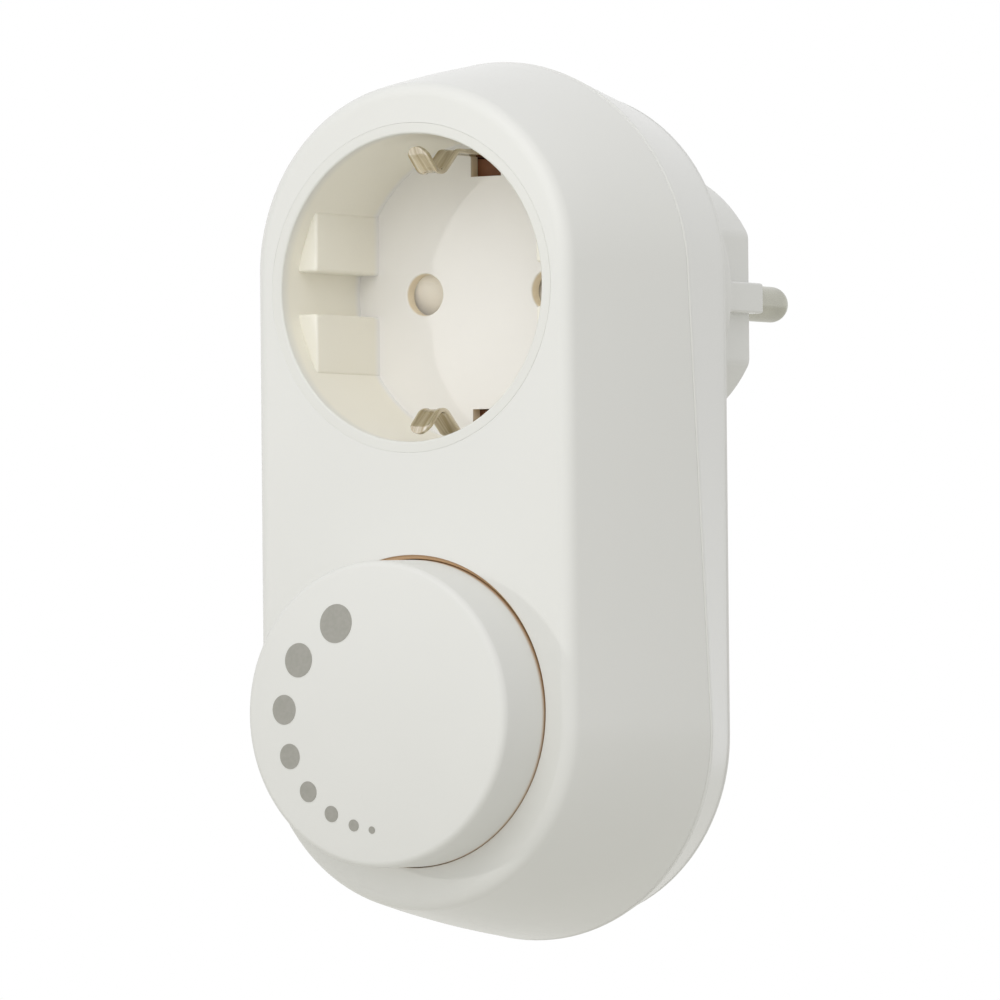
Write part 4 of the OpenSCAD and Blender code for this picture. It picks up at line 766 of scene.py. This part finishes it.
dotMesh = bakeNodes("levelDotsMesh", bpy.data.meshes.new("dotBase"), tree, {
    **dots, "Centre": tuple(spot(0, domeDepth(0) - sunkFilm, dial["z"])), "Ink": finishes["dot_ink"]})
placePiece("levelDots", dotMesh, "knob", "dot_ink", "level_dots")

# Earth strips, swept along a bent path in the plane of depth and height
clip = {"width": 3.05, "thickness": 0.56, "endRound": 1.5, "channel": 0.15, "rounds": [0, 1.4, 2.0, 1.4, 0.9],
        "path": [(1.85, 18.0), (2.0, 17.35), (5.45, 14.25), (9.6, 17.8), (24.95, 17.8)],
        "lowDrop": 0.55, "dropEnd": 20}  # the lower clip stands a little nearer the wall
strip = {"width": 5.0, "thickness": 0.7, "endRound": 0.8, "channel": 0, "rounds": [0, 0.8, 0.9, 0.9, 0.9],
         "path": [(55.0, 16.2), (53.8, 17.6), (47.8, 17.6), (45.3, 15.1), (25.65, 15.1)],
         "lowDrop": 0, "dropEnd": 0}
brim, bendSteps = 0.16, 8  # brim is the channel's border in the width and the edge's rounding in the thickness
slopeEnd, brimEdge = 1.5, 0.9  # in brims from the side: where the channel's floor starts, and what stays as it is


def bentStrip(name, bent, node):
    bm = bmesh.new()
    width, endRound = bent["width"], bent["endRound"]
    t, w, c, side = bent["thickness"] / 2, width / 2, bent["channel"], width * brim
    face = [(t, -w), (t, side - w), (t - c, side * slopeEnd - w)]  # a shallow channel runs along both faces
    face += [(x, -y) for x, y in face[::-1]]
    edge = bent["thickness"] * brim
    section = soften(face + [(-x, -y) for x, y in face], [edge, 0, 0, 0, 0, edge] * 2, 3, closed=True)
    lower = [(d, -z - bent["lowDrop"] * (d < bent["dropEnd"])) for d, z in bent["path"][::-1]]
    line = soften(bent["path"] + lower, bent["rounds"] + bent["rounds"][::-1], bendSteps)
    line = [a + (b - a) * k / bendSteps for a, b in zip(line, line[1:]) for k in range(bendSteps)] + [line[-1]]
    runs = [(b - a).length for a, b in zip(line, line[1:])]
    outlines = []
    for i, p in enumerate(line):
        along = (line[min(i + 1, len(line) - 1)] - line[max(i - 1, 0)]).normalized()
        across = Vector((-along.y, along.x))
        toEnd = min(sum(runs[:i]), sum(runs[i:]))
        short = max(0, endRound - toEnd)  # the strip's ends are rounded off in its own plane
        k = 1 - (endRound - math.sqrt(endRound ** 2 - short ** 2)) * 2 / width
        fill = max(0, 1 - toEnd / (endRound * 2))  # the channel runs out towards the ends
        outline = []
        for s in section:
            inChannel = abs(s.y) < w - side * brimEdge
            x = math.copysign(abs(s.x) + (t - abs(s.x)) * fill, s.x) if inChannel else s.x
            outline.append((s.y * k, p.x + across.x * x, p.y + across.y * x))
        outlines.append(outline)
    loft(bm, outlines)
    finishPiece(name, bm, "housing", "nickel", node)


bentStrip("socketEarthClips", clip, "socket_earth_clips")
bentStrip("plugEarthStrip", strip, "plug_earth_strip")

# Plug pins
pin = {"radius": 2.4, "neck": 2.05, "reach": 0.3, "shoulder": 0.1, "tip": 77.3, "flange": 3.6, "flangeStart": 52.8,
       "flangeEnd": 55.3, "tail": 1.8, "tailEnd": 44.8, "tipTurn": math.radians(88.5), "tipSteps": 12, "sides": 64,
       "rounds": [0, 0, 0.2, 0.2, 0, 0, 0.1, 0]}
for name, x, node in (("linePin", 9.5, "line_pin"), ("neutralPin", -9.5, "neutral_pin")):
    bm = bmesh.new()
    neckEnd, tipStart = seatDepth + pin["reach"], pin["tip"] - pin["radius"]
    profile = soften([
        (pin["tail"], pin["tailEnd"]), (pin["tail"], pin["flangeStart"]), (pin["flange"], pin["flangeStart"]),
        (pin["flange"], pin["flangeEnd"]), (pin["neck"], pin["flangeEnd"]), (pin["neck"], neckEnd),
        (pin["radius"], neckEnd + pin["shoulder"]), (pin["radius"], tipStart)], pin["rounds"])
    for i in range(1, pin["tipSteps"] + 1):
        a = pin["tipTurn"] * i / pin["tipSteps"]
        profile.append(Vector((pin["radius"] * math.cos(a), tipStart + pin["radius"] * math.sin(a))))
    turnedSolid(bm, profile, x, 0, pin["sides"])
    finishPiece(name, bm, "housing", "nickel", node, finish="nickelRod")

# Cover screws: one pan head with a cross recess, set at each place
screw = {"radius": 1.45, "tip": 0.5, "tipLength": 1.2, "head": 2.8, "headFlat": 2.0, "headRound": 0.7,
         "headFront": 33.8, "headHeight": 2.0, "length": 15.0, "crossHalf": 0.42, "crossReach": 1.82,
         "crossDepth": 1.0, "threads": 12, "threadStart": 1.5, "pitch": 1.05, "threadDepth": 0.28,
         "threadSteps": (0, 0.42, 0.55, 0.97), "neck": 0.2, "turn": 0.7, "sides": 32}
bm = bmesh.new()
wide, top = screw["radius"], screw["headHeight"]
body = [(screw["tip"], -screw["length"]), (wide, -screw["length"] + screw["tipLength"])]
for i in range(screw["threads"]):
    base = -screw["length"] + screw["threadStart"] + i * screw["pitch"]
    radii = (wide - screw["threadDepth"], wide, wide, wide - screw["threadDepth"])
    body += [(r, base + up) for r, up in zip(radii, screw["threadSteps"])]
body += [(wide, -screw["neck"]), (wide, 0), (screw["head"], 0), (screw["head"], top), (screw["headFlat"], top)]
body = soften(body, [0] * (len(body) - 2) + [screw["headRound"], 0])
rings = turned(bm, [(r, seatDepth + d) for r, d in body], 0, 0, screw["sides"])
fillFlat(bm, rings[0])
c, r = screw["crossHalf"], screw["crossReach"]
cross = [(r, -c), (r, c), (c, c), (c, r), (-c, r), (-c, c), (-r, c), (-r, -c), (-c, -c), (-c, -r), (c, -r), (c, -c)]
mouth, base = (addRing(bm, flatRing(cross, seatDepth + d)) for d in (top, top - screw["crossDepth"]))
joinRings(bm, [mouth, base])
fillFlat(bm, base)
fillFlat(bm, rings[-1], mouth)
pattern = addObject("screwPattern", toMesh("screwPattern", bm))
tree, given = openTree("coverScrews", {"Places": "Geometry", "Screw": "Object", "Turn": "Float", "Metal": "Material"})
shape = addNode(tree, "GeometryNodeObjectInfo", {"Object": given["Screw"]}).outputs["Geometry"]
order = addNode(tree, "GeometryNodeInputIndex").outputs[0]
lie = addNode(tree, "ShaderNodeCombineXYZ", {"Y": mathNode(tree, "MULTIPLY", order, given["Turn"])}).outputs[0]
placed = addNode(tree, "GeometryNodeInstanceOnPoints", {
    "Points": given["Places"], "Instance": shape, "Rotation": lie}).outputs[0]
closeTree(tree, addNode(tree, "GeometryNodeRealizeInstances", {"Geometry": placed}).outputs[0], given["Metal"])
places = bpy.data.meshes.new("screwBase")
places.from_pydata([spot(x, screw["headFront"], z) for x, z in screwPlaces], [], [])
screwsMesh = bakeNodes("coverScrewsMesh", places, tree, {
    "Screw": pattern, "Turn": screw["turn"], "Metal": finishes["steel"]})
bpy.data.objects.remove(pattern)
placePiece("coverScrews", screwsMesh, "housing", "steel", "cover_screws")

# Camera at the photograph's place
view = {"yaw": 32.02, "pitch": 1.13, "roll": -0.54, "place": (523.12, -873.70, -46.18), "lens": 275.18, "sensor": 36,
        "clipStart": 0.01}
yaw, pitch, roll = (math.radians(view[k]) for k in ("yaw", "pitch", "roll"))
ahead = Vector((-math.sin(yaw) * math.cos(pitch), math.cos(yaw) * math.cos(pitch), math.sin(pitch)))
level = Vector((math.cos(yaw), math.sin(yaw), 0))
above = level.cross(ahead)
right = math.cos(roll) * level + math.sin(roll) * above
up = -math.sin(roll) * level + math.cos(roll) * above
cameraData = bpy.data.cameras.new("photoCamera")
cameraData.sensor_width = view["sensor"]
cameraData.lens = view["lens"]
cameraData.clip_start = view["clipStart"]
camera = addObject("photoCamera", cameraData)
turn = Matrix((right, up, -ahead)).transposed().to_4x4()
camera.matrix_world = Matrix.Translation(Vector(view["place"]) * mm) @ turn
bpy.context.scene.camera = camera
print("camera set")

# Studio: white surround, brighter in front, two lamps, pale floor below the object
studio = {"ambient": 0.595, "brightSide": (0.38, -0.88, 0.1), "brightLift": 0.47, "brightFocus": 4.0,
          "sparkPlace": (-0.50, -0.895, 0.09), "sparkSize": 0.022, "sparkPower": 0.9,
          "softPlace": (0.08, -0.26, 0.15), "softSize": 0.2, "softPower": 0.21, "target": (0, -0.04, -0.027),
          "floorZ": -0.16, "floorReach": 1.3, "floorSides": 96, "floorGlow": 0.03, "floorSeen": 0.3,
          "floorColour": "#E2E1DA"}
pureWhite = (1, 1, 1, 1)
world = bpy.data.worlds.new("studioSurround")
bpy.context.scene.world = world
world.use_nodes = True
tree = world.node_tree
tree.nodes.clear()
way = addNode(tree, "ShaderNodeTexCoord").outputs["Generated"]
facing = vectorNode(tree, "DOT_PRODUCT", way, Vector(studio["brightSide"]).normalized())["Value"]
facing = mathNode(tree, "POWER", mathNode(tree, "MAXIMUM", facing, 0.0), studio["brightFocus"])
soft = mathNode(tree, "MULTIPLY_ADD", facing, studio["brightLift"], studio["ambient"])
strength = mapNode(tree, seenNode(tree), 0.0, 1.0, soft, 1.0)
white = addNode(tree, "ShaderNodeBackground", {"Color": pureWhite, "Strength": strength}).outputs[0]
addNode(tree, "ShaderNodeOutputWorld", {"Surface": white})
for name in ("spark", "soft"):  # the rim's faint shadow on the socket floor, and light on the upper half
    lampData = bpy.data.lights.new(name + "Lamp", "AREA")
    lampData.size = studio[name + "Size"]
    lampData.energy = studio[name + "Power"]
    lamp = addObject(name + "Lamp", lampData)
    lamp.location = studio[name + "Place"]
    lamp.rotation_euler = (Vector(studio["target"]) - lamp.location).to_track_quat("-Z", "Y").to_euler()
    lamp.visible_glossy = False
floorMesh = bpy.data.meshes.new("paleFloor")
reach, sides = studio["floorReach"], studio["floorSides"]
rim = [2 * math.pi * i / sides for i in range(sides)]
corners = [(reach * math.cos(a), reach * math.sin(a), studio["floorZ"]) for a in rim]
floorMesh.from_pydata(corners, [], [tuple(range(sides))])
floor = addObject("paleFloor", floorMesh)
paint = bpy.data.materials.new("matteWhitePaint")
paint.use_nodes = True
tree = paint.node_tree
tree.nodes.clear()
lift = mathNode(tree, "MULTIPLY_ADD", seenNode(tree), studio["floorSeen"], studio["floorGlow"])
matte = addNode(tree, "ShaderNodeBsdfDiffuse", {"Color": hexColour(studio["floorColour"])}).outputs[0]
glow = addNode(tree, "ShaderNodeEmission", {"Color": pureWhite, "Strength": lift}).outputs[0]
both = addNode(tree, "ShaderNodeAddShader", {0: matte, 1: glow}).outputs[0]
addNode(tree, "ShaderNodeOutputMaterial", {"Surface": both})
floorMesh.materials.append(paint)
bpy.context.scene.view_settings.view_transform = "Standard"
print("studio set")
